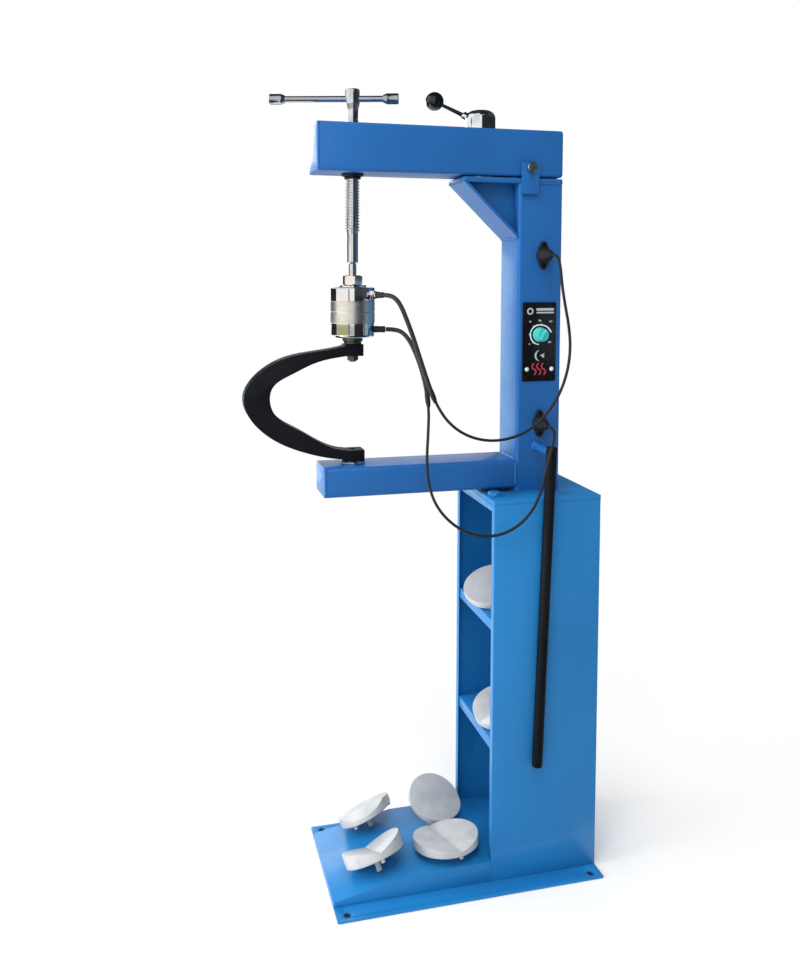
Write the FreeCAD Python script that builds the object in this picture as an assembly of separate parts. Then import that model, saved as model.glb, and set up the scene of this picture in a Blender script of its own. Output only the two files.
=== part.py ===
import FreeCAD
import Part
import math
import os
from FreeCAD import Vector, Rotation, Placement

# Floor-standing tyre vulcaniser: a heated head on a hand screw presses a patch
# between a bow arm and contour moulds. Millimetres, Z up, front towards -Y,
# control side towards +X. The origin is the middle of the four anchor holes,
# on the underside of the base plate.

# Driving dimensions of the base
BASE_WIDTH = 260.0
BASE_LENGTH = 470.0
BASE_THICK = 3.0
ANCHOR_HALF_X = 116.0
ANCHOR_HALF_Y = 216.0
ANCHOR_HOLE = 12.0
SHEET = 2.0

# Driving dimensions of the cabinet and its raised platform
CAB_WIDTH = 190.0
CAB_FRONT = 40.0
CAB_BACK = 235.0
CAB_TOP = 665.0
LID_SKIRT = 7.0
PLATFORM_Z = 38.0
RAMP_FRONT_Z = 12.0
RAMP_END_Y = -92.0
RETURN_WIDTH = 12.0
HEADER_Z = 645.0
SHELF_TOPS = (247.0, 456.0)
SHELF_LIP = 18.0
SEAM = 0.3

# Driving dimensions of the column and the two arms
COL_WIDTH = 82.0
COL_FRONT = 100.0
COL_BACK = 182.0
COL_TOP = 1200.0
WALL = 4.0
CORNER = 6.0
LOWER_WIDTH = 80.0
LOWER_FRONT = -238.0
LOWER_TOP = 722.0
LOWER_HEIGHT = 50.0
ARM_WIDTH = 80.0
ARM_FRONT = -249.0
TABLE_TOP = 1209.0
WASHER = 2.0
GAP = 0.3
ARM_BOTTOM = TABLE_TOP + WASHER + GAP
ARM_TOP = ARM_BOTTOM + 80.0
PIVOT_Y = 44.0
STOP_Y = 119.5
STOP_Z = 1226.0
STUD = 16.0
WEB = 6.0
WEB_INNER = 14.5

# Driving dimensions of the screw, the head and the bow
SCREW_Y = -182.0
SCREW = 24.0
SCREW_ROOT = 18.6
NUT = 32.0
THREAD_BOTTOM = 1114.0
SCREW_BOTTOM = 1064.0
JOURNAL = 13.0
TOMMY = 10.5
TOMMY_Z = 1335.0
TOMMY_TURN = 15.7
TOMMY_LONG = 139.0
TOMMY_SHORT = 77.0
CAP_LONG = 26.0
CAP = 18.0
HEAD = 75.0
HEAD_TOP = 1022.0
RING_TOP = 998.8
RING_MIDDLE = 980.6
RING_BOTTOM = 961.3
HEAD_BOTTOM = 937.5
BOW_TOP = 926.5
BOW_STUD = 12.0
BOW_END_TOP = BOW_TOP - GAP
BOW_INNER_TOP = 906.5
BOW_INNER_LOW = 746.5
BOW_END_LOW = 728.0
BOW_DEPTH = 32.0
PAD = 42.0
SEAT = 10.0
SEAT_FLOOR = 732.0
SPIGOT = 8.0
GLAND_TURN = 38.0
GLAND_Z = 1009.5
GLAND_REACH = 66.0
NOSE_TURN = 75.5
NOSE_Z = 951.0
NOSE_REACH = 56.0

# Driving dimensions of the controls, the plugs and the loose lever bar
PANEL_Y = 140.0
PANEL_Z = 927.5
PANEL_WIDTH = 62.0
PANEL_HEIGHT = 137.0
KNOB_Z = 940.0
LAMP_Z = 880.0
LAMP_PITCH = 46.0
SOCKET_UPPER = (145.5, 1077.0)
SOCKET_LOWER = (142.0, 785.0)
PLUG_END = 78.0
BAR = 18.0
BAR_X = 105.0
BAR_PIN_Y = 137.0
BAR_PIN_Z = 744.5
BAR_PIN = 10.0
BAR_LENGTH = 552.0
BAR_LEAN = 2.0

SIDE = COL_WIDTH / 2
HALF_CAB = CAB_WIDTH / 2
X_AXIS = Vector(1, 0, 0)
Y_AXIS = Vector(0, 1, 0)
Z_AXIS = Vector(0, 0, 1)


def save(name, shape):
    """Write one sub-part and print its volume, so a bad solid shows at once."""
    shape.exportStep("parts/%s.step" % name)
    print("%-18s %10.0f mm3  valid %s  solids %d"
          % (name, shape.Volume, shape.isValid(), len(shape.Solids)))


def block(x0, x1, y0, y1, z0, z1):
    """A block between two corners."""
    return Part.makeBox(x1 - x0, y1 - y0, z1 - z0, Vector(x0, y0, z0))


def rod(radius, z0, z1, x=0.0, y=0.0):
    """An upright round bar."""
    return Part.makeCylinder(radius, z1 - z0, Vector(x, y, z0))


def peg(radius, start, end):
    """A round bar between two points."""
    run = end.sub(start)
    return Part.makeCylinder(radius, run.Length, start, run)


def turned(points, x=0.0, y=0.0):
    """A turned piece about an upright axis, from (radius, z) points."""
    wire = Part.makePolygon([Vector(r, 0, z) for r, z in points + points[:1]])
    solid = Part.Face(wire).revolve(Vector(0, 0, 0), Z_AXIS, 360)
    return solid.translated(Vector(x, y, 0))


def hexagon(flats, z0, z1, x=0.0, y=0.0):
    """An upright hexagon bar, such as a bolt head, by its width over flats."""
    radius = flats / math.sqrt(3)
    corners = [Vector(x + radius * math.cos(math.radians(60 * i)),
                      y + radius * math.sin(math.radians(60 * i)), z0) for i in range(7)]
    return Part.Face(Part.makePolygon(corners)).extrude(Vector(0, 0, z1 - z0))


def rounded_face(half_a, half_b, radius):
    """A rectangle with round corners in the XY plane, about the origin."""
    a, b, r = half_a, half_b, radius
    sine = r * (1 - math.sqrt(0.5))
    corners = [(a, b, -1, -1), (-a, b, 1, -1), (-a, -b, 1, 1), (a, -b, -1, 1)]
    edges = []
    last = None
    first = None
    for i, (x, y, sx, sy) in enumerate(corners):
        along_y = Vector(x, y + sy * r, 0)
        along_x = Vector(x + sx * r, y, 0)
        middle = Vector(x + sx * sine, y + sy * sine, 0)
        start, end = (along_y, along_x) if i % 2 == 0 else (along_x, along_y)
        if last is not None:
            edges.append(Part.LineSegment(last, start).toShape())
        else:
            first = start
        edges.append(Part.Arc(start, middle, end).toShape())
        last = end
    edges.append(Part.LineSegment(last, first).toShape())
    return Part.Face(Part.Wire(edges))


def square_tube(half_a, half_b, length, wall=WALL, corner=CORNER):
    """An upright square tube from Z = 0, about the origin."""
    outer = rounded_face(half_a, half_b, corner).extrude(Vector(0, 0, length))
    inner = rounded_face(half_a - wall, half_b - wall, corner - wall / 2)
    return outer.cut(inner.extrude(Vector(0, 0, length)))


def laid_along_y(shape, x, y0, z):
    """Turn an upright piece so that its Z runs along +Y, from y0."""
    shape = shape.copy()
    shape.Placement = Placement(Vector(x, y0, z), Rotation(X_AXIS, -90)).multiply(shape.Placement)
    return shape


def side_plate(half_y, half_z, thick, corner, x, y, z):
    """A flat plate with round corners, standing on the column's near side."""
    plate = rounded_face(half_z, half_y, corner).extrude(Vector(0, 0, thick))
    plate.Placement = Placement(Vector(x, y, z), Rotation(Y_AXIS, 90))
    return plate


# Base


def base_plate():
    plate = rounded_face(BASE_WIDTH / 2, BASE_LENGTH / 2, 3).extrude(Vector(0, 0, BASE_THICK))
    for x in (-ANCHOR_HALF_X, ANCHOR_HALF_X):
        for y in (-ANCHOR_HALF_Y, ANCHOR_HALF_Y):
            plate = plate.cut(rod(ANCHOR_HOLE / 2, -1, BASE_THICK + 1, x, y))
    return plate


def platform():
    """Folded sheet: front lip, ramp, raised floor and two side cheeks."""
    front = -BASE_LENGTH / 2
    profile = [(front, BASE_THICK), (front, RAMP_FRONT_Z), (RAMP_END_Y, PLATFORM_Z),
               (CAB_FRONT, PLATFORM_Z), (CAB_FRONT, BASE_THICK)]
    side = Part.Face(Part.makePolygon([Vector(0, y, z) for y, z in profile + profile[:1]]))
    slope = (PLATFORM_Z - RAMP_FRONT_Z) / (RAMP_END_Y - front)
    inside = front + SHEET
    hollow = [(inside, BASE_THICK - 1), (inside, RAMP_FRONT_Z - SHEET + slope * SHEET),
              (RAMP_END_Y, PLATFORM_Z - SHEET), (CAB_FRONT + 1, PLATFORM_Z - SHEET),
              (CAB_FRONT + 1, BASE_THICK - 1)]
    gap = Part.Face(Part.makePolygon([Vector(0, y, z) for y, z in hollow + hollow[:1]]))
    outer = side.translated(Vector(-HALF_CAB, 0, 0)).extrude(Vector(CAB_WIDTH, 0, 0))
    inner_half = HALF_CAB - SHEET
    inner = gap.translated(Vector(-inner_half, 0, 0)).extrude(Vector(2 * inner_half, 0, 0))
    floor = block(-inner_half + SEAM, inner_half - SEAM, CAB_FRONT - 1, CAB_BACK - SHEET - SEAM,
                  PLATFORM_Z - SHEET, PLATFORM_Z)
    return outer.cut(inner).fuse(floor).removeSplitter()


# Cabinet


def cabinet_shell():
    """Back, sides and folded front edges, open towards the front."""
    top = CAB_TOP - LID_SKIRT
    shell = block(-HALF_CAB, HALF_CAB, CAB_FRONT, CAB_BACK, BASE_THICK, top)
    inside = HALF_CAB - SHEET
    shell = shell.cut(block(-inside, inside, CAB_FRONT + SHEET, CAB_BACK - SHEET, 0, top + 1))
    mouth = HALF_CAB - RETURN_WIDTH
    shell = shell.cut(block(-mouth, mouth, CAB_FRONT - 1, CAB_FRONT + SHEET + 1, 0, HEADER_Z))
    foot = block(-inside, inside, CAB_FRONT - 1, CAB_FRONT + SHEET + 1, 0, PLATFORM_Z)
    return shell.cut(foot)


def cabinet_lid():
    """Shallow lid with a short skirt and a square hole for the column."""
    lid = block(-HALF_CAB, HALF_CAB, CAB_FRONT, CAB_BACK, CAB_TOP - LID_SKIRT, CAB_TOP)
    inside = HALF_CAB - SHEET
    lid = lid.cut(block(-inside, inside, CAB_FRONT + SHEET, CAB_BACK - SHEET,
                        CAB_TOP - LID_SKIRT - 1, CAB_TOP - SHEET))
    middle = (COL_FRONT + COL_BACK) / 2
    hole = rounded_face(SIDE + SEAM, (COL_BACK - COL_FRONT) / 2 + SEAM, CORNER)
    lid = lid.cut(hole.extrude(Vector(0, 0, 20)).translated(Vector(0, middle, CAB_TOP - 10)))
    for x, y in foot_bolt_places():
        lid = lid.cut(rod(6.5, CAB_TOP - 10, CAB_TOP + 1, x, y))
    return lid


def shelves():
    """Two folded shelves, each with a turned-down front lip."""
    inside = HALF_CAB - SHEET - SEAM
    back = CAB_BACK - SHEET - SEAM
    front = CAB_FRONT + SHEET + SEAM
    solids = []
    for top in SHELF_TOPS:
        sheet = block(-inside, inside, front, back, top - SHEET, top)
        lip = block(-inside, inside, front, front + SHEET, top - SHELF_LIP, top)
        solids.append(sheet.fuse(lip).removeSplitter())
    return Part.makeCompound(solids)


def foot_bolt_places():
    return [(-57.0, 54.0), (57.0, 54.0)]


def foot_flange():
    """Thick plate under the lid that the column is welded to."""
    top = CAB_TOP - SHEET
    plate = block(-75, 75, CAB_FRONT + SHEET + 2, CAB_BACK - SHEET - 2, top - 8, top)
    for x, y in foot_bolt_places():
        plate = plate.cut(rod(6.5, top - 9, top + 1, x, y))
    return plate


def foot_bolts():
    """Two bolts with their nuts, holding the front of the flange to the lid."""
    nut_top = CAB_TOP - SHEET - 8
    solids = []
    for x, y in foot_bolt_places():
        bolt = hexagon(19, CAB_TOP, CAB_TOP + 7.5, x, y).fuse(rod(6, nut_top - 13, CAB_TOP, x, y))
        nut = hexagon(19, nut_top - 10, nut_top, x, y).cut(rod(6, nut_top - 11, nut_top + 1, x, y))
        solids.append(bolt)
        solids.append(nut)
    return Part.makeCompound(solids)


# Column and lower arm


def column():
    """Square tube with a window behind the panel and two plug holes."""
    foot = CAB_TOP - SHEET
    middle = (COL_FRONT + COL_BACK) / 2
    tube = square_tube(SIDE, (COL_BACK - COL_FRONT) / 2, COL_TOP - foot)
    tube = tube.translated(Vector(0, middle, foot))
    tube = tube.cut(block(SIDE - 6, SIDE + 1, PANEL_Y - 28, PANEL_Y + 28, PANEL_Z - 56, PANEL_Z + 56))
    for y, z in (SOCKET_UPPER, SOCKET_LOWER):
        tube = tube.cut(peg(10.2, Vector(SIDE - 6, y, z), Vector(SIDE + 1, y, z)))
    return tube


def lower_arm():
    half_high = LOWER_HEIGHT / 2
    length = COL_FRONT - LOWER_FRONT - WALL
    tube = square_tube(LOWER_WIDTH / 2, half_high, length)
    return laid_along_y(tube, 0, LOWER_FRONT + WALL, LOWER_TOP - half_high)


def lower_arm_cap():
    half_high = LOWER_HEIGHT / 2
    cap = rounded_face(LOWER_WIDTH / 2, half_high, CORNER).extrude(Vector(0, 0, WALL))
    return laid_along_y(cap, 0, LOWER_FRONT, LOWER_TOP - half_high)


def pivot_table():
    """Plate on the column and the gusset that the swinging arm turns on."""
    half = COL_BACK / 2
    plate = rounded_face(SIDE, half, 4).extrude(Vector(0, 0, TABLE_TOP - COL_TOP))
    plate = plate.translated(Vector(0, half, COL_TOP))
    back = [e for e in plate.Edges
            if e.BoundBox.ZMin > TABLE_TOP - 0.1 and e.BoundBox.YMin > COL_BACK - 4.1]
    plate = plate.makeFillet(3.5, back)
    return plate.cut(rod(STUD / 2 + 0.1, COL_TOP - 1, TABLE_TOP + 1, 0, PIVOT_Y))


def gusset_plate():
    """Sloping brace plate under the pivot table."""
    reach = COL_FRONT
    drop = COL_FRONT - 6
    outline = [(2, COL_TOP), (reach, COL_TOP - drop), (reach, COL_TOP - drop + 7),
               (9, COL_TOP)]
    face = Part.Face(Part.makePolygon([Vector(0, y, z) for y, z in outline + outline[:1]]))
    return face.translated(Vector(-40, 0, 0)).extrude(Vector(80, 0, 0))


def gusset_webs():
    """Two upright webs between the brace plate and the column, beside the stud's head."""
    drop = COL_FRONT - 6
    outline = [(9, COL_TOP), (COL_FRONT, COL_TOP - drop + 7), (COL_FRONT, COL_TOP)]
    face = Part.Face(Part.makePolygon([Vector(0, y, z) for y, z in outline + outline[:1]]))
    return Part.makeCompound([face.translated(Vector(x, 0, 0)).extrude(Vector(WEB, 0, 0))
                              for x in (WEB_INNER, -WEB_INNER - WEB)])


def stop_ear():
    """Plate on the column's near side that the arm's side comes to rest by."""
    ear = side_plate(15.5, 26.5, 6, 2, SIDE, STOP_Y, 1207.5)
    return ear.cut(peg(5.1, Vector(SIDE - 1, STOP_Y, STOP_Z), Vector(SIDE + 7, STOP_Y, STOP_Z)))


def stop_bolt():
    start = Vector(ARM_WIDTH / 2 + GAP, STOP_Y, STOP_Z)
    bolt = peg(5, start, Vector(SIDE + 7, STOP_Y, STOP_Z))
    head = hexagon(16, 0, 8)
    head.Placement = Placement(Vector(SIDE + 6, STOP_Y, STOP_Z), Rotation(Y_AXIS, 90))
    return bolt.fuse(head)


def pivot_stud():
    """Bolt that the upper arm turns on, with its head under the table."""
    return hexagon(24, COL_TOP - 10, COL_TOP, 0, PIVOT_Y).fuse(
        rod(STUD / 2, COL_TOP, ARM_TOP + 26, 0, PIVOT_Y))


def thrust_washer():
    return rod(30, TABLE_TOP, TABLE_TOP + WASHER, 0, PIVOT_Y).cut(
        rod(STUD / 2 + 0.1, TABLE_TOP - 1, TABLE_TOP + WASHER + 1, 0, PIVOT_Y))


# Swinging upper arm


def upper_arm():
    half = ARM_WIDTH / 2
    tube = square_tube(half, half, COL_BACK - ARM_FRONT - 2 * WALL)
    tube = laid_along_y(tube, 0, ARM_FRONT + WALL, ARM_BOTTOM + half)
    tube = tube.cut(rod(15, ARM_BOTTOM - 1, ARM_TOP + 1, 0, PIVOT_Y))
    return tube.cut(rod(NUT / 2, ARM_BOTTOM - 1, ARM_TOP + 1, 0, SCREW_Y))


def arm_caps():
    half = ARM_WIDTH / 2
    cap = rounded_face(half, half, CORNER).extrude(Vector(0, 0, WALL))
    rim = [e for e in cap.Edges if e.BoundBox.ZMin > WALL - 0.1]
    back = laid_along_y(cap.makeFillet(3.2, rim), 0, COL_BACK - WALL, ARM_BOTTOM + half)
    rim = [e for e in cap.Edges if e.BoundBox.ZMax < 0.1]
    front = laid_along_y(cap.makeFillet(2, rim), 0, ARM_FRONT, ARM_BOTTOM + half)
    return Part.makeCompound([front, back])


def screw_nut():
    """Long bronze nut through the arm, with a flange and a narrow nose below."""
    bore = SCREW / 2 + 0.05
    flange = ARM_BOTTOM - 4
    nose = ARM_BOTTOM - 9
    top = ARM_TOP + 0.5
    return turned([(bore, nose), (NUT / 2 - 3, nose), (NUT / 2 - 2, nose + 1), (NUT / 2 - 2, flange),
                   (NUT / 2 + 2.5, flange), (NUT / 2 + 2.5, ARM_BOTTOM), (NUT / 2, ARM_BOTTOM),
                   (NUT / 2, top), (bore, top)], 0, SCREW_Y)


def pivot_sleeve():
    """Spacer tube that keeps the clamp from crushing the arm."""
    return rod(15, ARM_BOTTOM, ARM_TOP, 0, PIVOT_Y).cut(
        rod(STUD / 2 + 0.05, ARM_BOTTOM - 1, ARM_TOP + 1, 0, PIVOT_Y))


# Clamp lever on top of the arm


def lever_direction():
    """The lever points to the front and the far side, and slopes up."""
    ball = Vector(-52, -22.7, 1348.7)
    root = Vector(0, PIVOT_Y, 1304.2)
    return root, ball


def lever_hub():
    """Domed hub with a slanting boss for the lever."""
    base = ARM_TOP + GAP
    bore = STUD / 2 + 0.05
    hub = turned([(0, base), (26, base), (26, base + 20), (24.9, base + 25.4), (21.9, base + 29.9),
                  (17.4, base + 32.9), (12, base + 34), (0, base + 34.6)], 0, PIVOT_Y)
    root, ball = lever_direction()
    along = ball.sub(root).normalize()
    boss = Part.makeCone(8.5, 7, 35, root, along)
    stem = rod(bore, base - 1, base + 27, 0, PIVOT_Y)
    under = block(-40, 40, PIVOT_Y - 60, PIVOT_Y + 40, base - 20, base)
    return hub.fuse(boss).cut(stem).cut(under).removeSplitter()


def lever_rod():
    root, ball = lever_direction()
    along = ball.sub(root).normalize()
    return Part.makeCone(4, 2.8, ball.sub(root).Length - 45, root.add(along * 35), along)


def lever_ball():
    """Ball grip with a short flat neck where the rod enters."""
    root, ball = lever_direction()
    along = ball.sub(root).normalize()
    grip = Part.makeSphere(16.2, ball)
    neck = Part.makeCylinder(20, 10, ball.sub(along * 24.5), along)
    hole = Part.makeCone(4, 2.8, ball.sub(root).Length - 45, root.add(along * 35), along)
    return grip.cut(neck).cut(hole)


# Lead screw and its sliding tommy bar


def tommy_line(at):
    """A point on the tommy bar's line, at a distance from the screw's axis."""
    turn = math.radians(TOMMY_TURN)
    return Vector(at * math.sin(turn), SCREW_Y + at * math.cos(turn), TOMMY_Z)


def lead_screw():
    """Screw with a flared, cross-bored head and a captive button at its foot."""
    radius = SCREW / 2
    root = SCREW_ROOT / 2
    journal = JOURNAL / 2
    screw = turned([(0, 1026.4), (7, 1026.4), (9, 1028), (9, 1033), (journal, 1033),
                    (journal, SCREW_BOTTOM - 3), (root, SCREW_BOTTOM), (root, THREAD_BOTTOM),
                    (radius, THREAD_BOTTOM + 2.5), (radius, 1298), (9.2, 1301), (9.6, 1318),
                    (12, 1326), (12, 1349), (11, 1351), (0, 1351)], 0, SCREW_Y)
    return screw.cut(peg(TOMMY / 2 + 0.05, tommy_line(-20), tommy_line(20)))


def tommy_bar():
    return peg(TOMMY / 2, tommy_line(-TOMMY_LONG + CAP_LONG - 12), tommy_line(TOMMY_SHORT - CAP_LONG + 12))


def tommy_caps():
    """Turned stops pressed on both ends of the bar."""
    solids = []
    for end, inner in ((-TOMMY_LONG, -TOMMY_LONG + CAP_LONG), (TOMMY_SHORT, TOMMY_SHORT - CAP_LONG)):
        sign = 1 if inner > end else -1
        cap = peg(CAP / 2, tommy_line(end), tommy_line(inner - sign * 2))
        cone_start = tommy_line(inner - sign * 2)
        cone = Part.makeCone(CAP / 2, TOMMY / 2 + 1, 2, cone_start, tommy_line(inner).sub(cone_start))
        hole = peg(TOMMY / 2, tommy_line(inner + sign), tommy_line(inner - sign * 12))
        solids.append(cap.fuse(cone).cut(hole))
    return Part.makeCompound(solids)


# Heated head


def swivel_collar():
    """Hexagon collar with a thin flange that holds the screw's button."""
    body = hexagon(30, HEAD_TOP + 3, 1042, 0, SCREW_Y)
    body = body.common(turned([(0, HEAD_TOP), (23.5, HEAD_TOP), (23.5, 1038), (16, 1042), (0, 1042)],
                              0, SCREW_Y))
    flange = turned([(0, HEAD_TOP), (23.5, HEAD_TOP), (23.5, HEAD_TOP + 3), (22.5, HEAD_TOP + 4),
                     (0, HEAD_TOP + 4)], 0, SCREW_Y)
    pocket = turned([(0, HEAD_TOP - 1), (9.5, HEAD_TOP - 1), (9.5, 1033.6),
                     (JOURNAL / 2 + 0.05, 1033.6), (JOURNAL / 2 + 0.05, 1043), (0, 1043)], 0, SCREW_Y)
    return body.fuse(flange).cut(pocket)


def thrust_bearing():
    """Thrust pad under the screw's button, inside the collar."""
    return turned([(0, HEAD_TOP), (9.4, HEAD_TOP), (9.4, HEAD_TOP + 3), (7, HEAD_TOP + 4),
                   (0, HEAD_TOP + 4)], 0, SCREW_Y)


def head_top_cup():
    radius = HEAD / 2
    return turned([(0, HEAD_TOP - 5), (radius - 4, HEAD_TOP - 5), (radius - 4, RING_TOP),
                   (radius, RING_TOP), (radius, HEAD_TOP - 3), (radius - 1, HEAD_TOP - 1),
                   (radius - 3, HEAD_TOP), (0, HEAD_TOP)], 0, SCREW_Y)


def head_upper_ring():
    radius = HEAD / 2
    return turned([(radius - 6, RING_MIDDLE), (radius - 1, RING_MIDDLE), (radius, RING_MIDDLE + 1),
                   (radius, RING_TOP), (radius - 6, RING_TOP)], 0, SCREW_Y)


def head_lower_ring():
    radius = HEAD / 2
    return turned([(radius - 6, RING_BOTTOM), (radius, RING_BOTTOM), (radius, RING_MIDDLE - 1),
                   (radius - 1, RING_MIDDLE), (radius - 6, RING_MIDDLE)], 0, SCREW_Y)


def head_bottom_cup():
    """Polished base cup, a little narrower, with a rounded lower edge."""
    radius = HEAD / 2 - 1
    low = HEAD_BOTTOM
    bend = 5.0
    arc = [(radius - bend * (1 - math.sin(math.radians(a))), low + bend * (1 - math.cos(math.radians(a))))
           for a in range(0, 91, 15)]
    return turned([(0, low)] + arc + [(radius, RING_BOTTOM), (radius - 4, RING_BOTTOM),
                                      (radius - 4, low + 8), (0, low + 8)], 0, SCREW_Y)


def heater_element():
    """Heating block inside the head."""
    return turned([(0, HEAD_BOTTOM + 8), (30, HEAD_BOTTOM + 8), (30, HEAD_BOTTOM + 50),
                   (8, HEAD_BOTTOM + 50), (8, HEAD_TOP - 5), (0, HEAD_TOP - 5)], 0, SCREW_Y)


def head_point(turn, reach, z):
    """A point at a reach from the head's axis, turned from +X towards +Y."""
    angle = math.radians(turn)
    return Vector(reach * math.cos(angle), SCREW_Y + reach * math.sin(angle), z)


def gland_nut():
    """Hexagon outlet nut screwed into the head's upper cup."""
    start = head_point(GLAND_TURN, HEAD / 2 - 3, GLAND_Z)
    end = head_point(GLAND_TURN, HEAD / 2 + 14, GLAND_Z)
    nut = hexagon(13, 0, end.sub(start).Length)
    nut.Placement = Placement(start, Rotation(Z_AXIS, end.sub(start)))
    nut = nut.cut(rod(HEAD / 2, HEAD_BOTTOM, HEAD_TOP + 1, 0, SCREW_Y))
    return nut.cut(peg(3.8, head_point(GLAND_TURN, HEAD / 2 + 4, GLAND_Z), end.add(end.sub(start))))


def cord_noses():
    """Black cord outlets: one in the gland nut, one low on the head."""
    upper_start = head_point(GLAND_TURN, HEAD / 2 + 4, GLAND_Z)
    upper_end = head_point(GLAND_TURN, GLAND_REACH, GLAND_Z)
    neck = peg(3.8, upper_start, head_point(GLAND_TURN, HEAD / 2 + 14, GLAND_Z))
    tip_start = head_point(GLAND_TURN, HEAD / 2 + 14, GLAND_Z)
    tip = Part.makeCone(5.4, 4.6, upper_end.sub(tip_start).Length, tip_start, upper_end.sub(tip_start))
    lower_start = head_point(NOSE_TURN, HEAD / 2 - 6, NOSE_Z)
    lower = peg(5.6, lower_start, head_point(NOSE_TURN, NOSE_REACH, NOSE_Z))
    lower = lower.cut(rod(HEAD / 2 - 1, HEAD_BOTTOM, HEAD_TOP, 0, SCREW_Y))
    return Part.makeCompound([neck.fuse(tip), lower])


def head_stud():
    """Stepped neck under the head and the stud that carries the bow."""
    low = BOW_TOP
    return turned([(0, 896), (5.2, 896), (BOW_STUD / 2, 897), (BOW_STUD / 2, low), (15, low),
                   (15, low + 4.5), (17.2, low + 4.5), (17.2, HEAD_BOTTOM), (0, HEAD_BOTTOM)],
                  0, SCREW_Y)


def bow_nut():
    top = BOW_INNER_TOP - GAP
    return hexagon(17, top - 8, top, 0, SCREW_Y).cut(rod(BOW_STUD / 2, top - 9, top + 1, 0, SCREW_Y))


# Bow arm

BOW_OUTER = [(-199, 923.2), (-215, 919.6), (-236, 916.8), (-261, 913), (-294, 906), (-330, 889.5),
             (-357, 863.5), (-367, 841), (-364.5, 820), (-346, 791), (-317, 769), (-286, 753),
             (-258, 742.8), (-232, 736.8), (-200, 731.5)]
BOW_INNER = [(-197, 747.3), (-217, 751.4), (-236, 759.8), (-256, 771.5), (-277, 784), (-305, 801),
             (-320, 818), (-325, 838), (-320, 856), (-307, 868), (-289, 877.5), (-265, 889),
             (-246, 897), (-228, 901.5), (-198, 906.2)]


def bow_arm():
    """Deep C-shaped strap with square ends: bored on top, tapped below."""
    back_top = SCREW_Y + 15.5
    back_low = SCREW_Y + 17.5

    def curve(points):
        line = Part.BSplineCurve()
        line.approximate(Points=[Vector(0, y, z) for y, z in points], DegMax=3, Tolerance=0.6)
        return line.toShape(), line.StartPoint, line.EndPoint

    outer, outer_top, outer_low = curve(BOW_OUTER)
    inner, inner_low, inner_top = curve(BOW_INNER)
    top_block = [outer_top, Vector(0, -197, BOW_END_TOP), Vector(0, back_top, BOW_END_TOP),
                 Vector(0, back_top, BOW_INNER_TOP), Vector(0, -196, BOW_INNER_TOP), inner_top]
    low_block = [inner_low, Vector(0, -195, BOW_INNER_LOW), Vector(0, back_low, BOW_INNER_LOW),
                 Vector(0, back_low, BOW_END_LOW), Vector(0, -199, BOW_END_LOW), outer_low]
    edges = [outer, inner]
    for points in (top_block, low_block):
        for p, q in zip(points, points[1:]):
            edges.append(Part.LineSegment(p, q).toShape())
    wire = Part.Wire(Part.__sortEdges__(edges))
    strap = Part.Face(wire).translated(Vector(-BOW_DEPTH / 2, 0, 0)).extrude(Vector(BOW_DEPTH, 0, 0))
    strap = strap.cut(rod(BOW_STUD / 2 + 0.05, BOW_INNER_TOP - 1, BOW_END_TOP + 1, 0, SCREW_Y))
    strap = strap.cut(rod(SPIGOT / 2 + 0.05, BOW_END_LOW - 1, SEAT_FLOOR + 1, 0, SCREW_Y))
    return strap.cut(rod(SEAT / 2, SEAT_FLOOR, BOW_INNER_LOW + 1, 0, SCREW_Y))


def bow_pad():
    """Round foot under the bow, with a spigot up into its lower end."""
    low = LOWER_TOP + GAP
    return turned([(0, low), (PAD / 2 - 1, low), (PAD / 2, low + 1), (PAD / 2, BOW_END_LOW - 1),
                   (PAD / 2 - 1, BOW_END_LOW), (SPIGOT / 2, BOW_END_LOW),
                   (SPIGOT / 2, SEAT_FLOOR - 0.5), (0, SEAT_FLOOR - 0.5)], 0, SCREW_Y)


# Control panel and what is behind it


def lamp_places():
    return [PANEL_Y + side * LAMP_PITCH / 2 for side in (-1, 1)]


def panel_screw_places():
    dy = PANEL_WIDTH / 2 - 6
    dz = PANEL_HEIGHT / 2 - 5
    return [(PANEL_Y + a * dy, PANEL_Z + b * dz) for a in (-1, 1) for b in (-1, 1)]


def control_panel():
    plate = side_plate(PANEL_WIDTH / 2, PANEL_HEIGHT / 2, 2.5, 2, SIDE, PANEL_Y, PANEL_Z)
    plate = plate.cut(peg(5.1, Vector(SIDE - 1, PANEL_Y, KNOB_Z), Vector(SIDE + 4, PANEL_Y, KNOB_Z)))
    for y in lamp_places():
        plate = plate.cut(peg(4, Vector(SIDE - 1, y, LAMP_Z), Vector(SIDE + 4, y, LAMP_Z)))
    return plate


def panel_screws():
    solids = []
    for y, z in panel_screw_places():
        head = Part.makeCone(3.4, 2.2, 1.8, Vector(SIDE + 2.5, y, z), X_AXIS)
        solids.append(head)
    return Part.makeCompound(solids)


def thermostat():
    """Thermostat body behind the panel, with its bush and turning shaft."""
    body = block(6, 34, PANEL_Y - 21, PANEL_Y + 21, KNOB_Z - 18, KNOB_Z + 18)
    bush = peg(5, Vector(34, PANEL_Y, KNOB_Z), Vector(SIDE + 2.5, PANEL_Y, KNOB_Z))
    shaft = peg(3, Vector(SIDE + 2.5, PANEL_Y, KNOB_Z), Vector(SIDE + 14, PANEL_Y, KNOB_Z))
    return body.fuse(bush).fuse(shaft)


def pilot_lamps():
    """Two lamps: a domed lens in front and a short body behind the panel."""
    solids = []
    for y in lamp_places():
        body = peg(4, Vector(SIDE - 16, y, LAMP_Z), Vector(SIDE + 2.5, y, LAMP_Z))
        lens = Part.makeCone(4.8, 3.4, 2.5, Vector(SIDE + 2.5, y, LAMP_Z), X_AXIS)
        solids.append(body.fuse(lens))
    return Part.makeCompound(solids)


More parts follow.
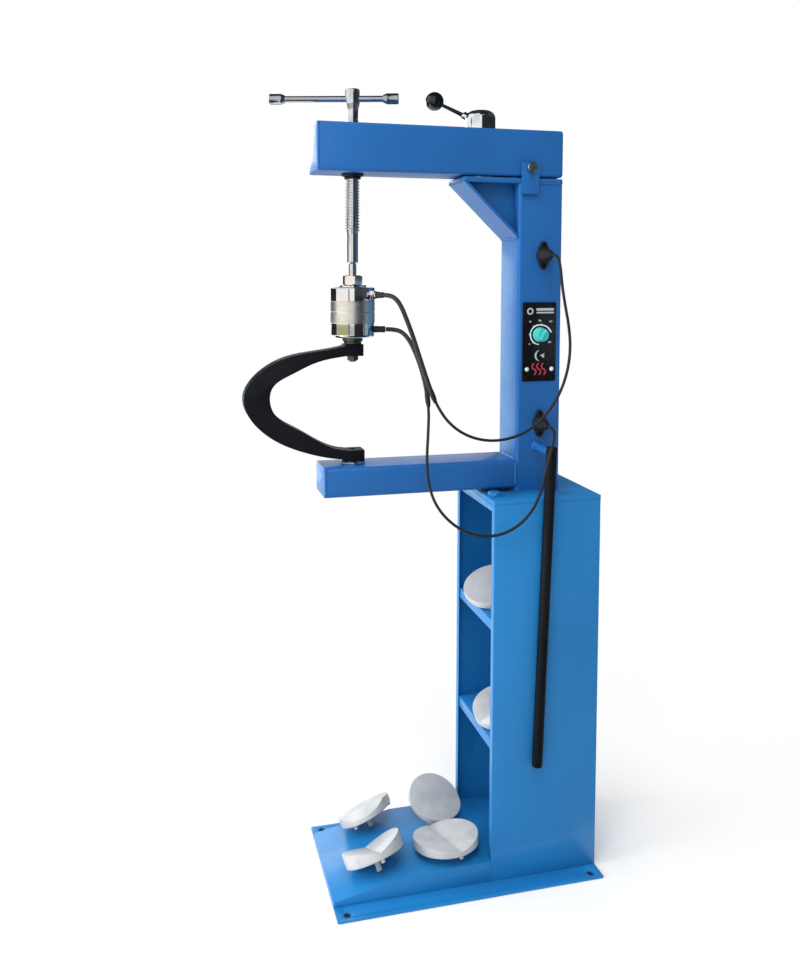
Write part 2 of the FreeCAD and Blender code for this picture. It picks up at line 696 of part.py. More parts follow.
def dial_knob():
    """Round skirted knob with a raised grip across it."""
    base = SIDE + 2.5 + GAP
    turned_body = turned([(3.05, 0), (12.8, 0), (12.8, 3), (11.9, 5), (11.2, 14), (10.2, 15.5),
                          (3.05, 15.5)])
    grip = rounded_face(10.2, 3.0, 2.5).extrude(Vector(0, 0, 4)).translated(Vector(0, 0, 14.5))
    knob = turned_body.fuse(grip)
    knob = knob.cut(rod(3.05, -1, 12))
    knob.Placement = Placement(Vector(base, PANEL_Y, KNOB_Z), Rotation(Y_AXIS, 90))
    return knob


# Plug sockets and plugs on the column


def lozenge(half_long, radius, end_radius, thick):
    """A flat flange: a round middle drawn out to two small round ends."""
    reach = half_long - end_radius
    turn = math.acos((radius - end_radius) / reach)
    side = [Vector(reach + end_radius * math.cos(turn), end_radius * math.sin(turn), 0),
            Vector(radius * math.cos(turn), radius * math.sin(turn), 0)]
    outline = side + [Vector(-p.x, p.y, 0) for p in reversed(side)]
    outline += [Vector(p.x, -p.y, 0) for p in reversed(outline)]
    web = Part.Face(Part.makePolygon(outline + outline[:1])).extrude(Vector(0, 0, thick))
    flange = web.fuse(rod(radius, 0, thick))
    for end in (-reach, reach):
        flange = flange.fuse(rod(end_radius, 0, thick, end))
    return flange.removeSplitter()


def sockets():
    """Two drawn-out flanges, each with a short barrel through the column's wall."""
    solids = []
    for y, z in (SOCKET_UPPER, SOCKET_LOWER):
        flange = lozenge(24, 12.5, 5.5, 5)
        flange = flange.fuse(rod(10, -12, 1))
        flange.Placement = Placement(Vector(SIDE, y, z), Rotation(Y_AXIS, 90))
        solids.append(flange.removeSplitter())
    return Part.makeCompound(solids)


def plug(place):
    """Round cable plug with a tapered boot, standing out of its socket."""
    y, z = place
    shape = turned([(0, SIDE + 5), (12, SIDE + 5), (12, SIDE + 15), (10.5, SIDE + 19),
                    (4.2, PLUG_END), (0, PLUG_END)])
    shape.Placement = Placement(Vector(0, y, z), Rotation(Y_AXIS, 90))
    return shape


# Loose lever bar on its bracket


def bar_pin():
    """Stepped pin on the column's side that the loose bar hangs on."""
    shoulder = BAR_X - BAR / 2 - 1.5
    stem = peg(7, Vector(SIDE, BAR_PIN_Y, BAR_PIN_Z), Vector(shoulder, BAR_PIN_Y, BAR_PIN_Z))
    pin = peg(BAR_PIN / 2, Vector(shoulder, BAR_PIN_Y, BAR_PIN_Z),
              Vector(BAR_X + BAR / 2 + 1, BAR_PIN_Y, BAR_PIN_Z))
    return stem.fuse(pin)


def lever_bar():
    """Round bar with an eye, hanging from the pin and leaning to the front."""
    top = 10.0
    bar = rod(BAR / 2, top - BAR_LENGTH, top)
    edges = [e for e in bar.Edges if e.BoundBox.ZLength < 0.1]
    bar = bar.makeChamfer(1, edges)
    bar = bar.cut(peg(BAR_PIN / 2 + 0.05, Vector(-BAR, 0, 0), Vector(BAR, 0, 0)))
    bar.Placement = Placement(Vector(BAR_X, BAR_PIN_Y, BAR_PIN_Z), Rotation(X_AXIS, -BAR_LEAN))
    return bar


# Contour moulds

LEG = 5.0


def mould_blank(radius, high, shank):
    """A cast disc with a stud for the bow's seat and three small legs underneath."""
    disc = turned([(0, LEG), (radius - 1.5, LEG), (radius, LEG + 1.5), (radius, LEG + high),
                   (0, LEG + high)])
    blank = disc.fuse(rod(SEAT / 2 - 0.1, LEG - shank, LEG + 1))
    for i in range(3):
        angle = math.radians(90 + 120 * i)
        blank = blank.fuse(rod(3.5, 0, LEG + 1, (radius - 6) * math.cos(angle),
                               (radius - 6) * math.sin(angle)))
    return blank.removeSplitter()


def prism(outline, half):
    """A prism across the mould, from (x, z) corners, for shaping its top."""
    wire = Part.makePolygon([Vector(x, -half, z) for x, z in outline + outline[:1]])
    return Part.Face(wire).extrude(Vector(0, 2 * half, 0))


def valley_mould(radius, high, low, centre, shank):
    """Two flats that meet in a valley, for a rounded tyre shoulder."""
    top = LEG + high
    span = radius + 2
    above = prism([(-span, top), (centre, LEG + low), (span, top), (span, top + 1), (-span, top + 1)],
                  span)
    return mould_blank(radius, high, shank).cut(above)


def ridge_mould(radius, high, low, centre, shank):
    """Two flats that meet in a ridge off the middle, for an inner sidewall."""
    top = LEG + high
    span = radius + 2
    above = prism([(-span, LEG + low), (centre, top), (span, LEG + low), (span, top + 1),
                   (-span, top + 1)], span)
    return mould_blank(radius, high, shank).cut(above)


def saddle_mould(radius, high, low, shank):
    """A round hollow across the disc, for the tread."""
    rise = high - low
    curve = (radius * radius + rise * rise) / (2 * rise)
    axis = Vector(0, -radius - 2, LEG + low + curve)
    hollow = Part.makeCylinder(curve, 2 * radius + 4, axis, Y_AXIS)
    return mould_blank(radius, high, shank).cut(hollow)


def placed(shape, at, spin, tilt, tilt_way):
    """Spin a mould about its own axis, lean it over a compass way, and place it."""
    way = math.radians(tilt_way)
    lean = Rotation(Vector(-math.sin(way), math.cos(way), 0), tilt)
    shape.Placement = Placement(Vector(*at), lean.multiply(Rotation(Z_AXIS, spin)))
    return shape


def moulds():
    """The loose moulds, each resting on its stud and a leg as the picture shows."""
    return {
        "mould_ridge": placed(ridge_mould(50, 18, 8, 28, 22), (-67.9, -139.8, 47.5), -9, 29.9, 228),
        "mould_valley": placed(valley_mould(52, 26, 11, 0, 22), (54.5, -153, 46), -83, 31, 211),
        "mould_bead": placed(valley_mould(49, 15, 9, 0, 22), (-65, -14.5, 55.8), 7, 25.1, 20),
        "mould_wide": placed(valley_mould(57, 18, 8, 0, 12), (46.5, -24.5, 45.9), -78, 8.6, 200),
        "mould_saddle": placed(saddle_mould(50, 13, 9, 22), (-1.9, 75.5, 476), 125, 25.5, -42),
        "mould_step": placed(valley_mould(50, 18, 9, 0, 18), (22.4, 87.7, 261.3), 18, 20.8, -69),
    }


# Cords

CORD = 4.8
SLEEVE = 7.6
UPPER_ROUTE = [(52.1, -141.3, GLAND_Z), (63, -132.8, GLAND_Z), (71.7, -124.1, 1002.9),
               (76.8, -116.8, 989.6), (79.4, -108.6, 968.5), (81.5, -98.9, 942),
               (84.2, -89.9, 912.5), (86.6, -80.5, 883), (88, -72, 857.5), (89.2, -61.5, 832),
               (90.8, -43.5, 803), (92.5, -16.5, 780.8), (94.5, 16.7, 768.8), (96.8, 52, 767.6),
               (99.4, 86, 777), (102.4, 115.3, 796.5), (105.3, 138, 823.5), (108, 154, 855),
               (110.4, 163, 889), (112.4, 165.3, 924.2), (113.8, 161, 959.3), (114.2, 154, 991),
               (113.6, 149.2, 1018), (112.8, 147, 1038), (110.2, 146.2, 1055.5),
               (104, 145.8, 1069.5), (92, 145.5, 1077), (PLUG_END, 145.5, 1077)]
UPPER_SPLIT = 9
LOWER_ROUTE = [(14.1, -127.7, NOSE_Z), (18, -112.3, NOSE_Z), (26.5, -100.5, 945.5), (36, -91.5, 932.5),
               (46.5, -83.5, 911), (55.5, -76.3, 885), (62.6, -70, 854.4), (69, -67.3, 816.1),
               (74, -70.3, 777.5), (78.6, -73.8, 738.9), (83.3, -73, 700.3), (88.6, -61.8, 663.5),
               (94.3, -37.6, 633.4), (100.3, -4.9, 613.2), (106.7, 32.9, 608), (112.8, 69.3, 621),
               (118.4, 96.7, 648.2), (123.1, 111.2, 683.7), (125, 118, 717), (124, 125.5, 745),
               (119, 134.5, 767), (108.5, 140.3, 780.5), (92.5, 142, 785), (PLUG_END, 142, 785)]
LOWER_SPLIT = 7


def split(route, runs):
    """Part a route in the middle of one run, so that both halves meet in line."""
    before, after = route[runs - 1], route[runs]
    middle = tuple((a + b) / 2 for a, b in zip(before, after))
    return route[:runs] + [middle], [middle] + route[runs:]


def cord(points, diameter, name):
    """A tube of straight runs joined by tangent arcs through a list of points."""
    route = [Vector(*p) for p in points]
    edges = []
    radii = []
    start = route[0]
    for before, here, after in zip(route, route[1:], route[2:]):
        back = before.sub(here)
        ahead = after.sub(here)
        turn = math.pi - back.getAngle(ahead)
        set_off = 0.45 * min(back.Length, ahead.Length)
        radii.append(set_off / math.tan(turn / 2))
        enter = here.add(back.normalize() * set_off)
        leave = here.add(ahead.normalize() * set_off)
        bisector = back.add(ahead).normalize()
        reach = radii[-1] / math.cos(turn / 2) - radii[-1]
        middle = here.add(bisector * reach)
        edges.append(Part.LineSegment(start, enter).toShape())
        edges.append(Part.Arc(enter, middle, leave).toShape())
        start = leave
    edges.append(Part.LineSegment(start, route[-1]).toShape())
    path = Part.Wire(edges)
    ring = Part.Wire(Part.Circle(route[0], route[1].sub(route[0]), diameter / 2).toShape())
    tube = path.makePipeShell([ring], True, False)
    section = math.pi * diameter * diameter / 4
    print("%s length %.0f mm, radii %s, volume ratio %.4f"
          % (name, path.Length, " ".join("%.0f" % r for r in radii), tube.Volume / (section * path.Length)))
    return tube


def main():
    os.makedirs("parts", exist_ok=True)
    pieces = {
        "base_plate": base_plate(), "platform": platform(), "cabinet_shell": cabinet_shell(),
        "cabinet_lid": cabinet_lid(), "shelves": shelves(), "foot_flange": foot_flange(),
        "foot_bolts": foot_bolts(), "column": column(), "lower_arm": lower_arm(),
        "lower_arm_cap": lower_arm_cap(), "pivot_table": pivot_table(),
        "gusset_plate": gusset_plate(), "gusset_webs": gusset_webs(), "stop_ear": stop_ear(),
        "stop_bolt": stop_bolt(), "pivot_stud": pivot_stud(), "thrust_washer": thrust_washer(),
        "upper_arm": upper_arm(), "arm_caps": arm_caps(), "screw_nut": screw_nut(),
        "pivot_sleeve": pivot_sleeve(), "lever_hub": lever_hub(), "lever_rod": lever_rod(),
        "lever_ball": lever_ball(), "lead_screw": lead_screw(), "tommy_bar": tommy_bar(),
        "tommy_caps": tommy_caps(), "swivel_collar": swivel_collar(),
        "thrust_bearing": thrust_bearing(), "head_top_cup": head_top_cup(),
        "head_upper_ring": head_upper_ring(), "head_lower_ring": head_lower_ring(),
        "head_bottom_cup": head_bottom_cup(), "heater_element": heater_element(),
        "gland_nut": gland_nut(), "cord_noses": cord_noses(), "head_stud": head_stud(),
        "bow_nut": bow_nut(), "bow_arm": bow_arm(), "bow_pad": bow_pad(),
        "control_panel": control_panel(), "panel_screws": panel_screws(),
        "thermostat": thermostat(), "pilot_lamps": pilot_lamps(), "dial_knob": dial_knob(),
        "sockets": sockets(), "upper_plug": plug(SOCKET_UPPER), "lower_plug": plug(SOCKET_LOWER),
        "bar_pin": bar_pin(), "lever_bar": lever_bar(),
    }
    halves = split(UPPER_ROUTE, UPPER_SPLIT)
    pieces["upper_sleeve"] = cord(halves[0], SLEEVE, "upper_sleeve")
    pieces["upper_lead"] = cord(halves[1], CORD, "upper_lead")
    halves = split(LOWER_ROUTE, LOWER_SPLIT)
    pieces["lower_sleeve"] = cord(halves[0], SLEEVE, "lower_sleeve")
    pieces["lower_lead"] = cord(halves[1], CORD, "lower_lead")
    pieces.update(moulds())
    for name, shape in pieces.items():
        save(name, shape)
    print("%d nodes" % len(pieces))


main()
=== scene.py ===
# %% [markdown]
# A stand-mounted tyre vulcaniser presses a hot head on a rubber patch. Its blue frame is
# welded from square tube and folded sheet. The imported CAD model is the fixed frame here, and
# every Blender piece is built around it in the same metres.

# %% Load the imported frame
import math

import bmesh
import bpy
from mathutils import Matrix, Vector


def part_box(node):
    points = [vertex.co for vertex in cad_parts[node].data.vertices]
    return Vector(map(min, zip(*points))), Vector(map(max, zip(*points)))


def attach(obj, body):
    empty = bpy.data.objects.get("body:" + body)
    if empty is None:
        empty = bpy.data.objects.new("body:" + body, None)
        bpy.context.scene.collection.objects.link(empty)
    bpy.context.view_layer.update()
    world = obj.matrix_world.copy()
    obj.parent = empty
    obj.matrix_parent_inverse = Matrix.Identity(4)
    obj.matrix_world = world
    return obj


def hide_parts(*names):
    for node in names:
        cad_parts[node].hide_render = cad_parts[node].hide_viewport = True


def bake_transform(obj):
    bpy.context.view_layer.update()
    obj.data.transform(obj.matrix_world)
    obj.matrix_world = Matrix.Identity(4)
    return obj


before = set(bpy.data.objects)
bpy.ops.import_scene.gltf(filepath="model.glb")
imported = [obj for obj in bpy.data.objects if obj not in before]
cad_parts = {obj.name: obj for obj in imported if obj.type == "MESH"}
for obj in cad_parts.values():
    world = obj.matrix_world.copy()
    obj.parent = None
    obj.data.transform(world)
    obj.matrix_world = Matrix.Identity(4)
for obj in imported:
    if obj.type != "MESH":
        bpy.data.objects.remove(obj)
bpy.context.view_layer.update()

scene = bpy.context.scene
scene.view_settings.view_transform = "Standard"
MM = 0.001

# %% [markdown]
# The camera stands on the control side, a little in front of the machine and at the height
# of the head. Its lens, place and heading come from the straight edges of the frame, so each
# tube slopes as it does in the picture.

# %% Camera
FRAME_WIDE = 800
FRAME_HIGH = 953
FOCAL = 890.75
SIGHT_X = 379.1
SIGHT_Y = 336.41
DIP = 3.68
ROLL = -0.08
HEADING = 76.07

lens = bpy.data.cameras.new("view")
lens.sensor_fit = "VERTICAL"
lens.sensor_height = 36.0
lens.lens = lens.sensor_height * FOCAL / FRAME_HIGH
lens.shift_x = (FRAME_WIDE / 2 - SIGHT_X) / FRAME_HIGH
lens.shift_y = -(FRAME_HIGH / 2 - SIGHT_Y) / FRAME_HIGH
camera = bpy.data.objects.new("view", lens)
camera.location = (1.47296, -0.5012, 1.03569)
camera.rotation_euler = (math.radians(90 - DIP), math.radians(ROLL), math.radians(HEADING))
scene.collection.objects.link(camera)
scene.camera = camera
print("lens", round(lens.lens, 2), "shift", round(lens.shift_x, 4), round(lens.shift_y, 4))

# %% [markdown]
# A shader is easier to read as arithmetic than as a list of nodes. This small class wraps a
# socket, so that mask * 0.5 + 0.2 adds the Math nodes by itself. The reflected forms let the
# plain number stand first, as in 1 - mask.

# %% Sockets as numbers
class Value:
    """A shader socket that works in a Python expression."""

    def __init__(self, nodes, socket):
        self.nodes = nodes
        self.socket = socket

    def __add__(self, other):
        return self.nodes.math("ADD", self, other)

    def __radd__(self, other):
        return self.nodes.math("ADD", other, self)

    def __sub__(self, other):
        return self.nodes.math("SUBTRACT", self, other)

    def __rsub__(self, other):
        return self.nodes.math("SUBTRACT", other, self)

    def __mul__(self, other):
        return self.nodes.math("MULTIPLY", self, other)

    def __rmul__(self, other):
        return self.nodes.math("MULTIPLY", other, self)


# %% [markdown]
# One method adds any node to a tree: it takes the kind, its settings and what goes into its
# sockets. The short methods below it are what the finishes, the floor and the world share.

# %% Node trees
class Nodes:
    """A node tree and the one method that adds any node to it."""

    def __init__(self, tree):
        self.tree = tree

    def put(self, node, socket, value):
        if isinstance(value, Value):
            self.tree.links.new(value.socket, node.inputs[socket])
        else:
            node.inputs[socket].default_value = value

    def node(self, kind, settings=None, sockets=None, out=0):
        node = self.tree.nodes.new(kind)
        for key, value in (settings or {}).items():
            if key == "stops":
                self.set_stops(node.color_ramp, value)
            else:
                setattr(node, key, value)
        for socket, value in (sockets or {}).items():
            self.put(node, socket, value)
        return Value(self, node.outputs[out])

    def set_stops(self, ramp, stops):
        while len(ramp.elements) < len(stops):
            ramp.elements.new(0.5)
        for element, (place, shade) in zip(ramp.elements, stops):
            element.position = place
            element.color = (shade, shade, shade, 1.0)

    def math(self, operation, first, second=0.0):
        return self.node("ShaderNodeMath", {"operation": operation}, {0: first, 1: second})

    def spot(self, kind="Object"):
        """Where a point lies, in metres of the object or on its UV map."""
        return self.node("ShaderNodeTexCoord", out=kind)

    def axis(self, spot, letter):
        return self.node("ShaderNodeSeparateXYZ", {}, {"Vector": spot}, out=letter)

    def ray(self, kind):
        """1 for rays of one kind, such as Camera, and 0 for all others."""
        return self.node("ShaderNodeLightPath", out="Is " + kind + " Ray")


# %% [markdown]
# Every finish is one Principled shader. Its own methods give cloudy noise, a ramp, a mix of
# two colours and the bump that paint, castings and rubber all have.

# %% Finishes
class Finish(Nodes):
    """A material with one Principled shader and the nodes that feed it."""

    def __init__(self, name, colour, **fixed):
        self.material = bpy.data.materials.new(name)
        self.material.use_nodes = True
        super().__init__(self.material.node_tree)
        self.shader = self.tree.nodes["Principled BSDF"]
        self.feed("Base Color", (*colour, 1.0))
        for socket, value in fixed.items():
            self.feed(socket.replace("_", " "), value)

    def feed(self, socket, value):
        self.put(self.shader, socket, value)

    def noise(self, size, detail=2.0, stretch=(1.0, 1.0, 1.0)):
        """Noise with features about size metres wide; a small stretch draws them out."""
        place = self.node("ShaderNodeMapping", {}, {"Vector": self.spot(), "Scale": stretch})
        sockets = {"Vector": place, "Scale": 1.0 / size, "Detail": detail}
        return self.node("ShaderNodeTexNoise", {}, sockets)

    def ramp(self, value, stops):
        return self.node("ShaderNodeValToRGB", {"stops": stops}, {"Fac": value})

    def clouds(self, size, low=0.35, high=0.7, detail=3.0):
        return self.ramp(self.noise(size, detail), [(low, 0.0), (high, 1.0)])

    def mix(self, mask, plain, other):
        sockets = {0: mask, 6: (*plain, 1.0), 7: (*other, 1.0)}
        return self.node("ShaderNodeMix", {"data_type": "RGBA"}, sockets, out=2)

    def bump(self, height, depth, strength):
        sockets = {"Height": height, "Distance": depth, "Strength": strength}
        self.feed("Normal", self.node("ShaderNodeBump", {}, sockets))


print("finish helpers ready")

# %% [markdown]
# The blue is a stoved enamel. It flows out to a gloss with a faint orange peel, and its film
# is a little thinner and darker here and there. A clear coat over it gives the pale sheen
# that its faces take on when they are seen at a low angle. The cabinet's blue is a shade
# greener and lighter than the frame's. The black parts have the same kind of paint without a
# clear coat.

# %% Enamels
FILM_CLOUD = 0.16
GLOSS_CLOUD = 0.03
ORANGE_PEEL = 0.0022


def enamel(name, deep, light, coat, rough, gloss):
    """A sprayed and stoved paint with orange peel and slow changes of depth."""
    finish = Finish(name, deep, Coat_Weight=coat, Coat_Roughness=0.12, Specular_IOR_Level=gloss)
    finish.feed("Base Color", finish.mix(finish.clouds(FILM_CLOUD), deep, light))
    finish.feed("Roughness", finish.noise(GLOSS_CLOUD) * 0.16 + rough)
    finish.bump(finish.noise(ORANGE_PEEL, 1.0), 0.00005, 0.3)
    return finish.material


FRAME_BLUE = enamel("frame_blue", (0.0095, 0.098, 0.312), (0.0115, 0.112, 0.351), 0.2, 0.32, 0.32)
CABINET_BLUE = enamel("cabinet_blue", (0.0125, 0.170, 0.440), (0.0150, 0.192, 0.485), 0.2, 0.32, 0.32)
BLACK_ENAMEL = enamel("black_enamel", (0.004, 0.005, 0.007), (0.007, 0.008, 0.011), 0.0, 0.42, 0.2)
BAR_ENAMEL = enamel("bar_enamel", (0.004, 0.0055, 0.007), (0.007, 0.008, 0.011), 0.0, 0.42, 0.2)
print("enamels", FRAME_BLUE.name, CABINET_BLUE.name, BLACK_ENAMEL.name, BAR_ENAMEL.name)

# %% [markdown]
# Bare metals are told apart by their marks. Chrome has almost none, turned steel and alloy
# have fine lines round the axis, and bronze and blacked screws are only cloudy. So one recipe
# takes the colour, the roughness and how far the marks are drawn out.

# %% Bare metals
def metal(name, colour, rough, wear=0.08, grain=0.0006, depth=0.00001, stretch=(1, 1, 1)):
    """A metal with fine marks, drawn out along the axes that have a small stretch."""
    finish = Finish(name, colour, Metallic=1.0)
    marks = finish.noise(grain, 2.0, stretch)
    stain = finish.clouds(0.02, 0.35, 0.75)
    dull = tuple(c * 0.84 for c in colour)
    finish.feed("Base Color", finish.mix(stain * 0.5, colour, dull))
    finish.feed("Roughness", marks * wear + stain * (wear * 0.6) + rough)
    finish.bump(marks, depth, 0.6)
    return finish.material


ROUND_MARKS = (0.02, 0.02, 1.0)
CHROME = metal("chrome_plate", (0.86, 0.87, 0.88), 0.06, 0.03, 0.002, 0.000003)
TURNED = metal("turned_alloy", (0.95, 0.94, 0.91), 0.30, 0.12, 0.0006, 0.00001, ROUND_MARKS)
STEEL = metal("bright_steel", (0.78, 0.79, 0.81), 0.12, 0.08, 0.0006, 0.000006, ROUND_MARKS)
# Painted shade: this bronze's colour is made very dark for the shade under the arm, where its nut is seen.
SHADE_DARKENED_BRONZE = metal("bronze_darkened_as_shade", (0.055, 0.053, 0.042), 0.32, 0.15)
# Painted reflection: this chrome's colour is darkened to stand in for the dark room that the tommy bar
# mirrors.
CHROME_DARKENED_AS_REFLECTION = metal("chrome_painted_dark_reflection", (0.56, 0.58, 0.62), 0.16, 0.08, 0.002, 0.000003)
DULL_STEEL = metal("dull_steel", (0.17, 0.175, 0.125), 0.38, 0.15, 0.0006, 0.00001, ROUND_MARKS)
BLACKED = metal("blacked_steel", (0.035, 0.036, 0.040), 0.34, 0.12)
print("metals", CHROME.name, TURNED.name, STEEL.name, SHADE_DARKENED_BRONZE.name, DULL_STEEL.name, BLACKED.name)

# %% [markdown]
# The moulds are cast in an aluminium alloy. The skin of a casting is matt and grainy with
# soft clouds, and it stays light even in shade, because a thin layer of pale oxide covers
# the metal. So the shader is only partly metallic.

# %% Cast alloy
CAST_LIGHT = (0.53, 0.545, 0.555)
CAST_DARK = (0.42, 0.44, 0.46)


def cast_alloy():
    finish = Finish("cast_alloy", CAST_LIGHT, Metallic=0.15)
    cloud = finish.clouds(0.03, 0.3, 0.7, 4.0)
    finish.feed("Base Color", finish.mix(cloud, CAST_LIGHT, CAST_DARK))
    finish.feed("Roughness", cloud * 0.12 + 0.36)
    grain = finish.noise(0.0012, 3.0) + finish.noise(0.006) * 0.8
    finish.bump(grain, 0.0001, 0.4)
    return finish.material


CAST = cast_alloy()
print("casting", CAST.name)

# %% [markdown]
# Plastics and rubber differ mostly in gloss. The ball grip is polished, the plugs are matt
# with a fine moulded grain, and the thin cord has a rubber jacket. The thick sleeve by the
# head is braided, and its weave follows the sleeve's own UV map, because it bends with it.

# %% Plastics, rubber and braid
def moulded(name, colour, rough, depth=0.00002, coat=0.0):
    finish = Finish(name, colour, Coat_Weight=coat, Coat_Roughness=0.05)
    grain = finish.noise(0.0009)
    tint = tuple(min(1.0, c * 1.3 + 0.002) for c in colour)
    finish.feed("Base Color", finish.mix(finish.noise(0.02) * 0.6, colour, tint))
    finish.feed("Roughness", grain * 0.12 + rough)
    finish.bump(grain, depth, 0.5)
    return finish.material


def braided(name, colour, pale, around, along):
    """Two sets of threads that cross on a slant, counted round and along a metre."""
    finish = Finish(name, colour)
    spot = finish.spot("UV")
    length = finish.axis(spot, "X") * (along * math.tau)
    turn = finish.axis(spot, "Y") * (around * math.tau)
    weave = finish.math("MAXIMUM", finish.math("SINE", turn + length), finish.math("SINE", turn - length))
    finish.feed("Base Color", finish.mix(finish.ramp(weave, [(0.5, 0.0), (0.95, 1.0)]), colour, pale))
    finish.feed("Roughness", weave * -0.1 + 0.5)
    finish.bump(weave, 0.00015, 0.5)
    return finish.material


BALL = moulded("ball_gloss", (0.003, 0.003, 0.004), 0.12, 0.000005, 0.4)
PLASTIC = moulded("plug_plastic", (0.010, 0.010, 0.012), 0.36)
TEAL = moulded("knob_teal", (0.040, 0.42, 0.40), 0.2, 0.000005, 0.4)
JACKET = moulded("cord_jacket", (0.010, 0.011, 0.014), 0.45)
BRAID = braided("sleeve_braid", (0.006, 0.006, 0.008), (0.04, 0.041, 0.047), 6, 420)
print("plastics", PLASTIC.name, BRAID.name)

# %% [markdown]
# The control panel is a black plate with a printed face. The inks are dry and slightly
# uneven, so they get the same grain as a moulding. The two lamps have pale, glossy lenses.

# %% Panel, inks and lenses
PANEL_BLACK = moulded("panel_black", (0.003, 0.003, 0.006), 0.24, 0.000005, 0.2)
WHITE_INK = moulded("white_ink", (0.62, 0.70, 0.70), 0.45)
GREY_INK = moulded("grey_ink", (0.36, 0.37, 0.38), 0.45)
RED_INK = moulded("red_ink", (0.40, 0.025, 0.035), 0.45)
GREEN_LENS = moulded("green_lens", (0.42, 0.68, 0.54), 0.12, 0.000005, 0.6)
ROSE_LENS = moulded("rose_lens", (0.70, 0.60, 0.62), 0.12, 0.000005, 0.6)
print("inks", WHITE_INK.name, RED_INK.name)

# %% [markdown]
# Most parts of the machine come from four trades: cut plate, drawn tube, turned bar and bent
# cord. Each gets one helper on bmesh operators. Sizes go in as millimetres, as on a workshop
# drawing, and come out in metres.

# %% Shape helpers
UP = (0, 0, 1)
OUT = (1, 0, 0)


def extent(node):
    """The lowest and highest corner of a CAD node, in millimetres."""
    low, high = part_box(node)
    return low / MM, high / MM


def middle(node):
    low, high = extent(node)
    return (low + high) / 2


def soften(bm, edges, width, segments=2):
    bmesh.ops.bevel(bm, geom=edges, offset=width * MM, offset_type="OFFSET", segments=segments,
                    profile=0.5, affect="EDGES", material=-1, clamp_overlap=True)
    return bm


def sharp_edges(bm, angle):
    limit = math.radians(angle)
    return [e for e in bm.edges if e.is_manifold and e.calc_face_angle(0.0) > limit]


def block(low, high):
    """A box between two corners in millimetres."""
    bm = bmesh.new()
    bmesh.ops.create_cube(bm, size=1.0)
    low, high = Vector(low) * MM, Vector(high) * MM
    bmesh.ops.scale(bm, vec=high - low, verts=bm.verts)
    bmesh.ops.translate(bm, vec=(low + high) / 2, verts=bm.verts)
    return bm


def stand(bm, origin, axis):
    """Turn a shape made along Z, so that it stands on a point along an axis."""
    turn = Vector(axis).to_track_quat("Z", "Y").to_matrix().to_4x4()
    place = Matrix.Translation(Vector(origin) * MM) @ turn
    bmesh.ops.transform(bm, matrix=place, verts=bm.verts)
    return bm


def turned(profile, origin=(0, 0, 0), axis=UP, steps=64):
    """A turned piece: (radius, height) points in millimetres, spun about an axis."""
    bm = bmesh.new()
    points = [bm.verts.new((r * MM, 0, z * MM)) for r, z in profile]
    rim = [bm.edges.new(pair) for pair in zip(points, points[1:])]
    bmesh.ops.spin(bm, geom=points + rim, cent=(0, 0, 0), axis=UP, angle=math.tau,
                   steps=steps, use_merge=True)
    bmesh.ops.remove_doubles(bm, verts=bm.verts, dist=1e-6)
    return stand(bm, origin, axis)


def arc(centre, radius, start, end, steps=8):
    """Points on an arc of a turned profile, between two angles in degrees."""
    angles = [math.radians(start + (end - start) * i / steps) for i in range(steps + 1)]
    return [(centre[0] + radius * math.cos(a), centre[1] + radius * math.sin(a)) for a in angles]


CHAMFER_SLOPE = 0.66
FLAT_SHARE = 0.475


def hexagon(flats, height, origin, axis):
    """A hexagon nut or bolt head. Both ends are turned to a cone, which lowers the corners most."""
    bm = bmesh.new()
    bmesh.ops.create_circle(bm, segments=6, radius=flats / math.sqrt(3) * MM,
                            matrix=Matrix.Rotation(math.radians(30), 4, "Z"))
    bmesh.ops.subdivide_edges(bm, edges=bm.edges[:], cuts=5)
    face = flats * FLAT_SHARE * MM

    def raised(edges, level, inward):
        """Extrude a ring of edges; it ends on the cone, or on the flat face's circle."""
        made = bmesh.ops.extrude_edge_only(bm, edges=edges)["geom"]
        ring = [g for g in made if isinstance(g, bmesh.types.BMVert)]
        for vert in ring:
            if inward:
                vert.co = (vert.co.xy.normalized() * face).to_3d()
            vert.co.z = level
        return [g for g in made if isinstance(g, bmesh.types.BMEdge) and all(v in ring for v in g.verts)]

    low = bm.edges[:]
    high = raised(low, height * MM, False)
    bmesh.ops.holes_fill(bm, edges=raised(high, height * MM, True))
    bmesh.ops.holes_fill(bm, edges=raised(low, 0.0, True))
    for edges, way in ((low, 1), (high, -1)):
        for vert in {v for e in edges for v in e.verts}:
            vert.co.z += way * (vert.co.xy.length - face) * CHAMFER_SLOPE
    return stand(bm, origin, axis)


def together(*shapes):
    """Several shapes as one mesh."""
    whole = bmesh.new()
    for shape in shapes:
        mesh = bpy.data.meshes.new("part")
        shape.to_mesh(mesh)
        shape.free()
        whole.from_mesh(mesh)
        bpy.data.meshes.remove(mesh)
    return whole


print("shape helpers ready")

# %% [markdown]
# A cord and a weld bead are one thing to the computer: a ring that is extruded from point to
# point. The ring turns as little as it can at each step, so the weave of a sleeve doesn't
# twist, and each ring may have its own radius.

